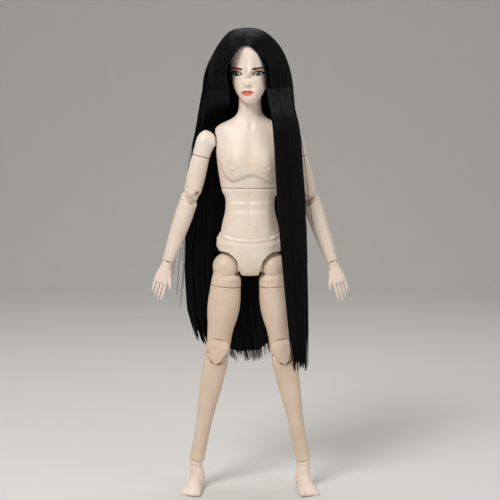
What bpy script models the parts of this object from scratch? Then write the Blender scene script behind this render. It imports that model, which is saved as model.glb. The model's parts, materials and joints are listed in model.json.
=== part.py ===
# Articulated fashion doll standing with its arms a little out and its legs apart.
# Metres, +Z up, the doll faces -Y, and its own left side is +X.
# The origin is on the floor, under the middle of the doll.
# Every limb is modelled in a frame of its own: -Z runs down the limb, +X is outward
# and -Y is forward. The frame sits on the joint that carries the limb.
import math

import bmesh
import bpy
from mathutils import Matrix, Vector

MM = 0.001

# Fits
GAP = 0.3 * MM
OVERRUN = 2.0 * MM

# Smoothness
LIMB_SIDES = 16
TORSO_SIDES = 24
BALL_SIDES = 12
HIP_BALL_SIDES = 18
PIN_SIDES = 6
DOME_STEPS = 3

# Stance: each leg leans out from the hip, and a little back, which brings the feet under the
# doll's weight
ANKLE_Z = 17.47 * MM
ANKLE_DROP = 1.6 * MM
SHIN_TILT = math.radians(10.8)
SHIN_LENGTH = 79.6 * MM
THIGH_TILT = math.radians(5.46)
THIGH_LENGTH = 51.0 * MM
LEG_LEAN = math.radians(1.2)
SHIN_RISE = (SHIN_LENGTH + ANKLE_DROP) * math.cos(SHIN_TILT)
THIGH_RISE = THIGH_LENGTH * math.cos(THIGH_TILT)
HIP_Z = ANKLE_Z + (SHIN_RISE + THIGH_RISE) * math.cos(LEG_LEAN)

# Chest and neck
WAIST_ABOVE_HIP = 50.7 * MM
WAIST_SEAM_Z = HIP_Z + WAIST_ABOVE_HIP
CHEST_HEIGHT = 46.0 * MM
CHEST_HALF_WIDTH = 22.6 * MM
CHEST_FRONT = 13.6 * MM
CHEST_BACK = 12.0 * MM
CHEST_WALL = 2.6 * MM
CHEST_SPLIT_Y = 0.6 * MM
NECK_Y = 1.2 * MM
NECK_RISE = 10.3 * MM
NECK_JOINT_Z = WAIST_SEAM_Z + CHEST_HEIGHT + NECK_RISE
NECK_BALL = 7.6 * MM
PEC_HEIGHT = 1.5 * MM

# Abdomen and pelvis
HIP_ABOVE_CROTCH = 5.6 * MM
PELVIS_BOTTOM_Z = HIP_Z - HIP_ABOVE_CROTCH
PELVIS_HALF_WIDTH = 21.6 * MM
PELVIS_FRONT = 11.2 * MM
PELVIS_BACK = 12.6 * MM
WAISTBAND_ABOVE_CROTCH = 25.2 * MM
WAISTBAND_SAG = 5.4 * MM
WAISTBAND_REACH = 14.0 * MM

# Waist joint
WAIST_ROD_RADIUS = 3.2 * MM
WAIST_DISC_RADIUS = 5.4 * MM
WAIST_DISC_THICKNESS = 2.0 * MM
WAIST_SINK = 7.0 * MM

# Head
CHIN_BELOW_JOINT = 1.4 * MM
HEAD_BOTTOM_Z = NECK_JOINT_Z - CHIN_BELOW_JOINT
HEAD_HEIGHT = 44.6 * MM
HEAD_HALF_WIDTH = 13.6 * MM
HEAD_FRONT = 15.0 * MM
HEAD_BACK = 18.0 * MM
NECK_STEM_RADIUS = 1.9 * MM
NECK_STEM_BALL = 3.6 * MM
NECK_STEM_TOP = 11.0 * MM
NECK_FLANGE_RADIUS = 3.8 * MM
NECK_FLANGE_THICKNESS = 1.6 * MM
NOD_LIMIT = math.radians(12.0)

# Shoulder
SHOULDER_X = 29.4 * MM
SHOULDER_BELOW_TOP = 16.6 * MM
SHOULDER_Z = WAIST_SEAM_Z + CHEST_HEIGHT - SHOULDER_BELOW_TOP
SHOULDER_FACE_X = 22.9 * MM
SHOULDER_RADIUS = 6.6 * MM
SHOULDER_EYE = 2.9 * MM
SHOULDER_TONGUE = 2.6 * MM
SHOULDER_SHAFT = 2.6 * MM
SHOULDER_FLANGE_RADIUS = 4.2 * MM
SHOULDER_FLANGE_THICKNESS = 1.6 * MM
RAISE_LIMITS = (math.radians(-8.0), math.radians(78.0))

# Arm
ARM_TILT = math.radians(13.7)
ARM_SEAM = 9.2 * MM
ARM_PEG_RADIUS = 2.2 * MM
ARM_PEG_LENGTH = 4.0 * MM
UPPER_ARM_LENGTH = 31.4 * MM
UPPER_ARM_RADIUS = 6.2 * MM
FOREARM_TILT = math.radians(19.5)
FOREARM_LENGTH = 48.9 * MM
FOREARM_RADIUS = 6.1 * MM
PIN_RADIUS = 0.9 * MM

# Elbow
ELBOW_TWIST = math.radians(45.0)
ELBOW_EYE = 2.8 * MM
ELBOW_LINK = 3.2 * MM
ELBOW_REACH = 8.2 * MM
ELBOW_DOME = 5.7 * MM
ELBOW_FOLD = math.radians(55.0)

# Wrist and hand
WRIST_BALL = 3.3 * MM
WRIST_DROP = 1.3 * MM
WRIST_EYE = 1.7 * MM
WRIST_TONGUE = 1.5 * MM
WRIST_SHAFT = 1.3 * MM
WRIST_SHAFT_TOP = 9.0 * MM
WRIST_PIN = 0.6 * MM
WRIST_LIMITS = (math.radians(-30.0), math.radians(30.0))
HAND_TURN = math.radians(15.0)
HAND_LENGTH = 27.6 * MM
PALM_START = 1.2 * MM
PALM_LENGTH = 12.4 * MM
PALM_HALF_WIDTH = 5.0 * MM
PALM_HALF_DEPTH = 2.2 * MM
FINGER_RADIUS = 1.15 * MM
THUMB_RADIUS = 1.4 * MM
THUMB_FAN_share = 4.2

# Hip
HIP_X = 15.4 * MM
HIP_OPENING = math.radians(20.0)
HIP_BALL = 9.1 * MM
HIP_EYE = 4.0 * MM
HIP_TONGUE = 4.0 * MM
HIP_SHAFT = 3.2 * MM
HIP_SHAFT_TOP = 13.0 * MM
HIP_PIN = 1.2 * MM
HIP_SEAM = 12.6 * MM
HIP_PEG_RADIUS = 3.6 * MM
HIP_PEG_LENGTH = 6.0 * MM
SPREAD_LIMITS = (math.radians(-8.0), math.radians(40.0))
SWING_BACK = math.radians(12.0)

# Leg
THIGH_HALF_WIDTH = 10.0 * MM
THIGH_FRONT = 10.0 * MM
THIGH_BACK = 10.8 * MM
SHIN_HALF_WIDTH = 8.0 * MM
SHIN_FRONT = 7.8 * MM
SHIN_BACK = 9.6 * MM

# Knee and kneecap
KNEE_EYE = 3.6 * MM
KNEE_LINK = 4.4 * MM
KNEE_REACH = 10.2 * MM
KNEE_DOME = 7.2 * MM
KNEE_FOLD = math.radians(58.0)
KNEE_LEAD = math.radians(75.0)
KNEE_PIN = 1.2 * MM
KNEECAP_HALF_WIDTH = 6.0 * MM
KNEECAP_TOP = 3.4 * MM
KNEECAP_BOTTOM = 12.2 * MM
KNEECAP_BACK = 4.4 * MM
KNEECAP_FRONT = 8.3 * MM

# Ankle and foot
ANKLE_BALL = 4.6 * MM
ANKLE_EYE = 2.3 * MM
ANKLE_TONGUE = 2.2 * MM
ANKLE_SHAFT = 1.9 * MM
ANKLE_SHAFT_TOP = 11.0 * MM
ANKLE_LIMITS = (math.radians(-22.0), math.radians(22.0))
FOOT_TURN = math.radians(6.0)
FOOT_FRONT = 23.0 * MM
FOOT_BACK = 10.0 * MM
FOOT_HALF_WIDTH = 6.9 * MM
FOOT_HEIGHT = 13.0 * MM
FOOT_EDGE = 1.2 * MM
TOE_RADIUS = 1.7 * MM

# Hair
HAIR_LOFT = 3.2 * MM
HAIR_TOP_Z = HEAD_BOTTOM_Z + HEAD_HEIGHT + HAIR_LOFT
HAIR_CAP_ABOVE_CHIN = 8.4 * MM
HAIR_CAP_BOTTOM_Z = HEAD_BOTTOM_Z + HAIR_CAP_ABOVE_CHIN
HAIR_CAP_HALF_WIDTH = 28.8 * MM
HAIR_CAP_FRONT = 16.4 * MM
HAIR_CAP_BACK = 20.2 * MM
HAIR_FALL_LENGTH = 176.0 * MM
HAIR_FALL_HALF_WIDTH = 43.0 * MM
HAIR_FALL_BACK = 20.2 * MM
HAIR_THICKNESS = 4.2 * MM
LOCK_TOP_Z = HAIR_CAP_BOTTOM_Z - GAP
LOCK_LENGTH = 177.6 * MM
LOCK_HALF_WIDTH = 8.4 * MM
LOCK_THICKNESS = 3.4 * MM
LOCK_FRONT = 19.0 * MM

# Section tables. A loft row is: height share, middle across share, middle back share,
# inner, outer, front and back shares of the half widths and depths.
CHEST_shares = (
    (0.000, 0, 0, 0.830, 0.830, 0.76, 0.80),
    (0.090, 0, 0, 0.862, 0.862, 0.84, 0.84),
    (0.170, 0, 0, 0.890, 0.890, 0.92, 0.88),
    (0.270, 0, 0, 0.920, 0.920, 0.98, 0.93),
    (0.380, 0, 0, 0.945, 0.945, 1.00, 0.98),
    (0.500, 0, 0, 0.968, 0.968, 0.96, 1.00),
    (0.620, 0, 0, 0.985, 0.985, 0.86, 1.00),
    (0.740, 0, 0, 1.000, 1.000, 0.72, 0.96),
    (0.830, 0, 0, 0.990, 0.990, 0.58, 0.86),
    (0.885, 0, 0, 0.860, 0.860, 0.50, 0.76),
    (0.930, 0, 0, 0.660, 0.660, 0.44, 0.69),
    (0.970, 0, 0, 0.490, 0.490, 0.42, 0.65),
    (1.010, 0, 0, 0.400, 0.400, 0.43, 0.63),
    (1.060, 0, 0, 0.345, 0.345, 0.45, 0.61),
    (1.120, 0, 0, 0.325, 0.325, 0.47, 0.60),
    (1.170, 0, 0, 0.322, 0.322, 0.48, 0.60),
)
LOWER_TORSO_shares = (
    (0.000, 0, 0, 0.33, 0.33, 0.50, 0.66),
    (0.035, 0, 0, 0.39, 0.39, 0.74, 0.82),
    (0.120, 0, 0, 0.60, 0.60, 0.90, 0.97),
    (0.230, 0, 0, 0.84, 0.84, 0.98, 1.02),
    (0.330, 0, 0, 0.97, 0.97, 1.00, 1.00),
    (0.425, 0, 0, 1.000, 1.000, 1.000, 0.934),
    (0.432, 0, 0, 1.020, 1.020, 1.038, 0.970),
    (0.462, 0, 0, 1.005, 1.005, 1.034, 0.946),
    (0.469, 0, 0, 0.982, 0.982, 0.990, 0.890),
    (0.520, 0, 0, 0.955, 0.955, 0.98, 0.84),
    (0.630, 0, 0, 0.880, 0.880, 0.95, 0.75),
    (0.740, 0, 0, 0.805, 0.805, 0.91, 0.70),
    (0.840, 0, 0, 0.785, 0.785, 0.89, 0.70),
    (0.930, 0, 0, 0.825, 0.825, 0.90, 0.73),
    (1.000, 0, 0, 0.862, 0.862, 0.91, 0.76),
)
HEAD_shares = (
    (0.000, 0, -0.60, 0.20, 0.20, 0.18, 0.20),
    (0.018, 0, -0.56, 0.32, 0.32, 0.34, 0.34),
    (0.060, 0, -0.46, 0.48, 0.48, 0.54, 0.50),
    (0.120, 0, -0.34, 0.62, 0.62, 0.66, 0.62),
    (0.190, 0, -0.22, 0.74, 0.74, 0.76, 0.74),
    (0.260, 0, -0.12, 0.82, 0.82, 0.84, 0.82),
    (0.330, 0, -0.05, 0.86, 0.86, 0.90, 0.88),
    (0.410, 0, 0, 0.90, 0.90, 0.92, 0.92),
    (0.500, 0, 0, 0.93, 0.93, 0.92, 0.96),
    (0.590, 0, 0, 0.97, 0.97, 0.95, 0.99),
    (0.680, 0, 0, 1.00, 1.00, 0.97, 1.00),
    (0.770, 0, 0, 0.98, 0.98, 0.93, 0.98),
    (0.850, 0, 0.02, 0.90, 0.90, 0.83, 0.90),
    (0.920, 0, 0.04, 0.74, 0.74, 0.65, 0.74),
    (0.970, 0, 0.06, 0.50, 0.50, 0.42, 0.50),
    (1.000, 0, 0.08, 0.20, 0.20, 0.17, 0.20),
)
UPPER_ARM_shares = (
    (0.00, 0, 0, 0.94, 0.90, 0.92, 0.92),
    (0.30, 0, 0, 0.97, 0.97, 0.99, 0.99),
    (0.60, 0, 0, 1.00, 1.00, 1.00, 1.00),
    (0.85, 0, 0, 0.97, 0.94, 0.95, 0.95),
    (1.00, 0, 0, 0.93, 0.93, 0.92, 0.92),
)
FOREARM_shares = (
    (0.00, 0, 0, 0.90, 0.92, 0.92, 0.94),
    (0.20, 0, 0, 0.96, 0.99, 1.00, 1.00),
    (0.36, 0, 0, 0.99, 1.00, 1.00, 0.98),
    (0.55, 0, 0, 0.94, 0.90, 0.90, 0.86),
    (0.75, 0, 0, 0.84, 0.82, 0.74, 0.72),
    (0.92, 0, 0, 0.70, 0.68, 0.62, 0.62),
    (1.00, 0, 0, 0.64, 0.64, 0.60, 0.60),
)
THIGH_shares = (
    (0.00, 0, 0, 0.92, 0.91, 0.93, 0.90),
    (0.10, 0, 0, 0.96, 0.94, 0.97, 0.96),
    (0.22, 0, 0, 1.00, 0.99, 1.00, 1.00),
    (0.40, 0, 0, 1.00, 1.00, 1.00, 1.00),
    (0.58, 0, 0, 0.93, 0.93, 0.93, 0.93),
    (0.75, 0, 0, 0.83, 0.84, 0.83, 0.82),
    (0.90, 0, 0, 0.75, 0.77, 0.75, 0.71),
    (1.00, 0, 0, 0.73, 0.76, 0.72, 0.67),
)
SHIN_shares = (
    (0.00, 0, 0, 0.94, 0.94, 0.94, 0.74),
    (0.08, 0, 0, 0.90, 0.92, 0.92, 0.80),
    (0.18, 0, 0, 0.97, 0.97, 0.86, 0.92),
    (0.28, 0, 0, 1.00, 1.00, 0.80, 1.00),
    (0.38, 0, 0, 0.93, 0.93, 0.76, 0.96),
    (0.50, 0, 0, 0.80, 0.82, 0.72, 0.82),
    (0.64, 0, 0, 0.68, 0.68, 0.66, 0.66),
    (0.78, 0, 0, 0.64, 0.64, 0.64, 0.56),
    (0.92, 0, 0, 0.64, 0.63, 0.66, 0.54),
    (1.00, 0, 0, 0.65, 0.64, 0.67, 0.55),
)
PALM_shares = (
    (0.00, 0, 0, 0.74, 0.74, 1.30, 1.30),
    (0.15, 0, 0, 0.72, 0.72, 1.20, 1.20),
    (0.55, 0, 0, 0.94, 0.94, 1.05, 1.05),
    (0.85, 0, 0, 1.00, 1.00, 0.95, 0.95),
    (1.00, 0, 0, 0.90, 0.90, 0.70, 0.70),
)
# Each finger: across share of the palm, length share of the hand, curl share
FINGER_shares = (
    (-0.74, 0.50, 0.08),
    (-0.25, 0.54, 0.16),
    (0.25, 0.51, 0.24),
    (0.74, 0.42, 0.30),
)
# Foot rows run from the heel to the ball of the foot:
# length share, middle across share, inner, outer, top and sole shares.
FOOT_shares = (
    (-1.00, 0.00, 0.26, 0.26, 0.22),
    (-0.90, 0.00, 0.52, 0.52, 0.42),
    (-0.60, 0.00, 0.64, 0.64, 0.62),
    (-0.20, 0.00, 0.70, 0.70, 0.86),
    (0.10, 0.02, 0.72, 0.74, 0.84),
    (0.35, 0.05, 0.78, 0.86, 0.62),
    (0.58, 0.08, 0.88, 0.98, 0.44),
    (0.76, 0.10, 0.90, 1.00, 0.32),
    (0.84, 0.10, 0.84, 0.94, 0.26),
)
# Each toe: across share, reach share of the foot, radius share
TOE_shares = (
    (-0.66, 1.00, 1.30),
    (-0.16, 0.97, 0.92),
    (0.26, 0.93, 0.86),
    (0.66, 0.88, 0.80),
    (1.00, 0.81, 0.74),
)
HIP_CAP_shares = (
    (0.30, 0, 0, 0.78, 0.78, 0.78, 0.72),
    (0.55, 0, 0, 0.89, 0.86, 0.88, 0.82),
    (0.80, 0, 0, 0.92, 0.90, 0.91, 0.88),
    (1.00, 0, 0, 0.93, 0.91, 0.93, 0.90),
)
ANKLE_shares = (
    (0.00, 1.10, 1.20, 1.40),
    (0.35, 1.06, 1.06, 1.16),
    (0.70, 1.00, 0.98, 1.04),
    (1.00, 0.90, 0.90, 0.92),
)
KNEECAP_shares = (
    (-0.68, 1.0, "top"),
    (0.68, 1.0, "top"),
    (1.00, 0.25, "top"),
    (0.94, 0.25, "bottom"),
    (0.42, 0.84, "bottom"),
    (0.00, 1.00, "bottom"),
    (-0.42, 0.84, "bottom"),
    (-0.94, 0.25, "bottom"),
    (-1.00, 0.25, "top"),
)
HAIR_CAP_shares = (
    (0.000, 0, 0, 1.00, 0.95, 0.80, 1.00),
    (0.120, 0, 0, 0.98, 0.93, 0.92, 1.00),
    (0.250, 0, 0, 0.95, 0.90, 0.98, 1.00),
    (0.380, 0, 0, 0.89, 0.84, 1.00, 1.00),
    (0.500, 0, 0, 0.82, 0.78, 1.00, 0.99),
    (0.620, 0, 0, 0.74, 0.70, 0.98, 0.965),
    (0.730, 0, 0, 0.66, 0.62, 0.92, 0.91),
    (0.830, 0, 0, 0.55, 0.51, 0.80, 0.80),
    (0.910, 0, 0, 0.42, 0.38, 0.62, 0.63),
    (0.970, 0, 0, 0.25, 0.22, 0.38, 0.38),
    (1.000, 0, 0, 0.08, 0.08, 0.12, 0.12),
)
# Half outline points of the opening for the face: across share, height share of the cap
FACE_OPENING_shares = (
    (0.00, 0.66),
    (0.22, 0.56),
    (0.36, 0.42),
    (0.41, 0.24),
    (0.41, -1.20),
    (-0.41, -1.20),
    (-0.41, 0.24),
    (-0.36, 0.42),
    (-0.22, 0.56),
)
# Hair rows run down the back: length share, right and left width shares, depth share of the
# front edge and of the back.
HAIR_FALL_shares = (
    (0.00, 0.70, 0.64, -0.20, 1.00),
    (0.04, 0.72, 0.65, -0.16, 1.00),
    (0.085, 0.76, 0.67, 0.10, 0.99),
    (0.13, 0.80, 0.69, 0.50, 0.98),
    (0.20, 0.86, 0.72, 0.56, 0.97),
    (0.34, 0.93, 0.77, 0.56, 0.97),
    (0.50, 0.97, 0.81, 0.56, 0.98),
    (0.66, 1.00, 0.82, 0.55, 0.98),
    (0.82, 0.98, 0.82, 0.55, 0.97),
    (0.91, 0.86, 0.82, 0.55, 0.96),
    (1.00, 0.66, 0.80, 0.56, 0.94),
)
# The lock in front of the left shoulder: length share, middle across in half widths of the
# lock, half width share, middle depth share of its front reach.
LOCK_shares = (
    (0.00, 2.05, 0.62, 0.36),
    (0.04, 2.20, 0.78, 0.58),
    (0.09, 2.40, 0.92, 0.82),
    (0.13, 2.52, 0.98, 0.90),
    (0.20, 2.62, 1.00, 0.91),
    (0.35, 2.78, 1.00, 0.91),
    (0.52, 3.00, 0.96, 0.86),
    (0.70, 3.28, 0.82, 0.80),
    (0.86, 3.52, 0.62, 0.74),
    (1.00, 3.70, 0.48, 0.70),
)
# Bumps of the front: across share, height share, spread shares, height share of the bump
CHEST_BUMP_shares = (
    (-0.46, 0.36, 0.30, 0.17, 1.0),
    (0.46, 0.36, 0.30, 0.17, 1.0),
    (-0.46, 0.235, 0.05, 0.012, 0.2),
    (0.46, 0.235, 0.05, 0.012, 0.2),
    (0.0, 0.34, 0.07, 0.20, -0.45),
    (0.0, 0.11, 0.50, 0.07, -0.35),
)
ABDOMEN_BUMP_shares = (
    (-0.26, 0.86, 0.17, 0.055, 0.45),
    (0.26, 0.86, 0.17, 0.055, 0.45),
    (-0.26, 0.71, 0.17, 0.05, 0.40),
    (0.26, 0.71, 0.17, 0.05, 0.40),
    (0.0, 0.58, 0.30, 0.09, 0.35),
    (0.0, 0.80, 0.05, 0.20, -0.30),
    (0.0, 0.60, 0.04, 0.02, -0.60),
    (-0.70, 0.52, 0.12, 0.10, 0.35),
    (0.70, 0.52, 0.12, 0.10, 0.35),
)
FACE_BUMP_shares = (
    (0.0, 0.42, 0.11, 0.05, 1.55),
    (0.0, 0.48, 0.10, 0.07, 1.05),
    (0.0, 0.56, 0.09, 0.07, 0.55),
    (-0.42, 0.56, 0.20, 0.045, -0.75),
    (0.42, 0.56, 0.20, 0.045, -0.75),
    (-0.45, 0.635, 0.24, 0.035, 0.35),
    (0.45, 0.635, 0.24, 0.035, 0.35),
    (0.0, 0.275, 0.20, 0.022, 0.75),
    (0.0, 0.225, 0.17, 0.020, 0.70),
    (0.0, 0.330, 0.05, 0.030, -0.25),
    (0.0, 0.175, 0.22, 0.025, -0.45),
    (0.0, 0.06, 0.30, 0.06, 0.45),
)
FACE_BUMP_HEIGHT = 1.6 * MM


# Scene and collections
for old in list(bpy.data.objects):
    bpy.data.objects.remove(old, do_unlink=True)

DOLL = bpy.data.collections.new("fashion_doll")
CUTTERS = bpy.data.collections.new("cutters")
for collection in (DOLL, CUTTERS):
    bpy.context.scene.collection.children.link(collection)


def material(name, colour, roughness):
    """A Principled material of one moulded plastic or fibre."""
    made = bpy.data.materials.new(name)
    made.use_nodes = True
    shader = made.node_tree.nodes["Principled BSDF"]
    shader.inputs["Base Color"].default_value = (*colour, 1.0)
    shader.inputs["Roughness"].default_value = roughness
    shader.inputs["Metallic"].default_value = 0.0
    made.diffuse_color = (*colour, 1.0)
    return made


SKIN = material("pale_hard_plastic", (0.80, 0.64, 0.53), 0.45)
VINYL = material("pale_soft_vinyl", (0.84, 0.69, 0.60), 0.55)
NYLON = material("white_nylon_joint", (0.78, 0.74, 0.68), 0.4)
HAIR = material("black_rooted_fibre", (0.008, 0.008, 0.010), 0.35)


# Mesh helpers
def new_object(name, bm, surface=None, frame=None):
    """Turn a bmesh into a named object whose origin is its frame's origin."""
    bmesh.ops.recalc_face_normals(bm, faces=bm.faces[:])
    mesh = bpy.data.meshes.new(name)
    bm.to_mesh(mesh)
    bm.free()
    mesh.shade_smooth()
    mesh.set_sharp_from_angle(angle=math.radians(40.0))
    made = bpy.data.objects.new(name, mesh)
    if surface:
        mesh.materials.append(surface)
        DOLL.objects.link(made)
    else:
        CUTTERS.objects.link(made)
        made.hide_render = True
        made.display_type = "WIRE"
    if frame:
        made.matrix_world = frame
    return made


def boolean(target, other, operation):
    """Add a Boolean modifier to the target."""
    step = target.modifiers.new(operation.lower() + "_" + other.name, "BOOLEAN")
    step.operation = operation
    step.solver = "EXACT"
    step.object = other
    return step


def cut(target, *others):
    for other in others:
        boolean(target, other, "DIFFERENCE")


def join(target, *others):
    for other in others:
        boolean(target, other, "UNION")


def bridge(bm, rings):
    """Skin a list of equal rings and close both ends."""
    for lower, upper in zip(rings, rings[1:]):
        for i, corner in enumerate(lower):
            j = (i + 1) % len(lower)
            bm.faces.new((corner, lower[j], upper[j], upper[i]))
    bm.faces.new(rings[0][::-1])
    bm.faces.new(rings[-1])


def oval(bm, sides, centre, inner, outer, front, back, mirror=1):
    """A ring whose four quarters have their own half widths."""
    ring = []
    for i in range(sides):
        turn = 2 * math.pi * i / sides
        c, s = math.cos(turn), math.sin(turn)
        x = c * (outer if c > 0 else inner)
        y = s * (back if s > 0 else front)
        ring.append(bm.verts.new((mirror * (centre[0] + x), centre[1] + y, centre[2])))
    return ring


def rows_of(shares, start, length, width, front, back):
    """Loft rows in metres from a table of shares."""
    rows = []
    for z, across, behind, inner, outer, ahead, rear in shares:
        depth = front if behind < 0 else back
        rows.append(((across * width, behind * depth, start + z * length),
                     inner * width, outer * width, ahead * front, rear * back))
    return rows


def dome_rows(row, height, direction, power):
    """Rows that round off the end of a loft. A power below 1 rounds it less across."""
    centre, inner, outer, front, back = row
    rows = []
    for step in range(1, DOME_STEPS + 1):
        turn = step * math.pi / (2 * DOME_STEPS + 1)
        lean = math.cos(turn)
        wide = lean ** power
        rows.append(((centre[0], centre[1], centre[2] + direction * height * math.sin(turn)),
                     inner * wide, outer * wide, front * lean, back * lean))
    return rows


def loft(name, rows, sides=LIMB_SIDES, mirror=1, surface=None, frame=None, bumps=()):
    """A closed skin over ovals, then shaped by each of the given functions in turn."""
    bm = bmesh.new()
    bridge(bm, [oval(bm, sides, *row, mirror=mirror) for row in rows])
    for shape in bumps:
        shape(bm)
    return new_object(name, bm, surface, frame)


def raise_bumps(shares, start, length, width, height):
    """Push the front of a mesh out or in by soft round bumps."""
    def shape(bm):
        for vert in bm.verts:
            facing = max(0.0, -vert.co.y) / (abs(vert.co.y) + width / 2)
            across = vert.co.x / width
            up = (vert.co.z - start) / length
            lift = 0.0
            for x, z, wide, tall, share in shares:
                lift += share * math.exp(-((across - x) / wide) ** 2 - ((up - z) / tall) ** 2)
            vert.co.y -= lift * height * min(1.0, facing * 2.0)
    return shape


def sag_waistband(bm):
    """Let the rows round the waistband dip towards the middle of the front."""
    for vert in bm.verts:
        front = max(0.0, -vert.co.y) / PELVIS_FRONT
        off = (vert.co.z - WAISTBAND_ABOVE_CROTCH) / WAISTBAND_REACH
        vert.co.z -= WAISTBAND_SAG * min(1.0, front) * max(0.0, 1.0 - off * off)


def put_on_axis(made, frame):
    """Move an object's origin to the joint that carries it, and leave its shape in place."""
    bpy.context.view_layer.update()
    made.data.transform(frame.inverted() @ made.matrix_world)
    made.matrix_world = frame


def ball(name, radius, centre=(0, 0, 0), surface=None, frame=None, sides=BALL_SIDES):
    bm = bmesh.new()
    bmesh.ops.create_uvsphere(bm, u_segments=sides, v_segments=sides // 2, radius=radius)
    bmesh.ops.translate(bm, verts=bm.verts[:], vec=Vector(centre))
    return new_object(name, bm, surface, frame)


def turned(axis):
    """The rotation that lays a cylinder along the named axis."""
    return {"X": Matrix.Rotation(math.pi / 2, 4, "Y"),
            "Y": Matrix.Rotation(math.pi / 2, 4, "X"),
            "Z": Matrix.Identity(4)}[axis]


def cylinder(name, radius, length, axis="Z", centre=(0, 0, 0), surface=None, frame=None,
             sides=BALL_SIDES, top_radius=None):
    bm = bmesh.new()
    bmesh.ops.create_cone(bm, cap_ends=True, segments=sides, radius1=radius,
                          radius2=radius if top_radius is None else top_radius, depth=length)
    bmesh.ops.transform(bm, verts=bm.verts[:], matrix=Matrix.Translation(centre) @ turned(axis))
    return new_object(name, bm, surface, frame)


def box(name, low, high, surface=None, frame=None):
    bm = bmesh.new()
    bmesh.ops.create_cube(bm, size=1.0)
    for vert in bm.verts:
        vert.co = Vector([l if c < 0 else h for c, l, h in zip(vert.co, low, high)])
    return new_object(name, bm, surface, frame)


def outline(name, points, low, high, axis="X", surface=None, frame=None):
    """A flat outline pushed through from low to high along X or Y."""
    bm = bmesh.new()
    def place(a, b, along):
        return (along, a, b) if axis == "X" else (a, along, b)
    rings = [[bm.verts.new(place(a, b, along)) for a, b in points] for along in (low, high)]
    bridge(bm, rings)
    return new_object(name, bm, surface, frame)


def sector(radius, eye, start, stop, steps=6):
    """A fan from start to stop about a pivot, as wide as the eye that turns in it."""
    points = arc(eye, stop + math.pi / 2, start + 3 * math.pi / 2, steps)
    points.append(at_angle(radius, start, -eye))
    points += arc(radius, start, stop, steps)
    points.append(at_angle(radius, stop, eye))
    return points


def at_angle(radius, angle, beside):
    """A point out at an angle, and a step to the side of it."""
    s, c = math.sin(angle), math.cos(angle)
    return (-radius * s - beside * c, radius * c - beside * s)


def arc(radius, start, stop, steps):
    """Points about a pivot, at angles from straight up towards -Y."""
    return [(-radius * math.sin(start + (stop - start) * i / steps),
             radius * math.cos(start + (stop - start) * i / steps)) for i in range(steps + 1)]


def frame_at(place, tilt=0.0, twist=0.0):
    """A limb's frame: at a place, leaning by tilt about Y, then turned about its own axis."""
    return (Matrix.Translation(Vector(place)) @ Matrix.Rotation(tilt, 4, "Y")
            @ Matrix.Rotation(twist, 4, "Z"))


def leg_frame(place, tilt):
    """The frame of a leg piece, which leans back as well as out."""
    return frame_at(place, tilt) @ Matrix.Rotation(LEG_LEAN, 4, "X")


def moved(frame, offset, twist=0.0):
    return frame @ Matrix.Translation(Vector(offset)) @ Matrix.Rotation(twist, 4, "Z")


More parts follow.
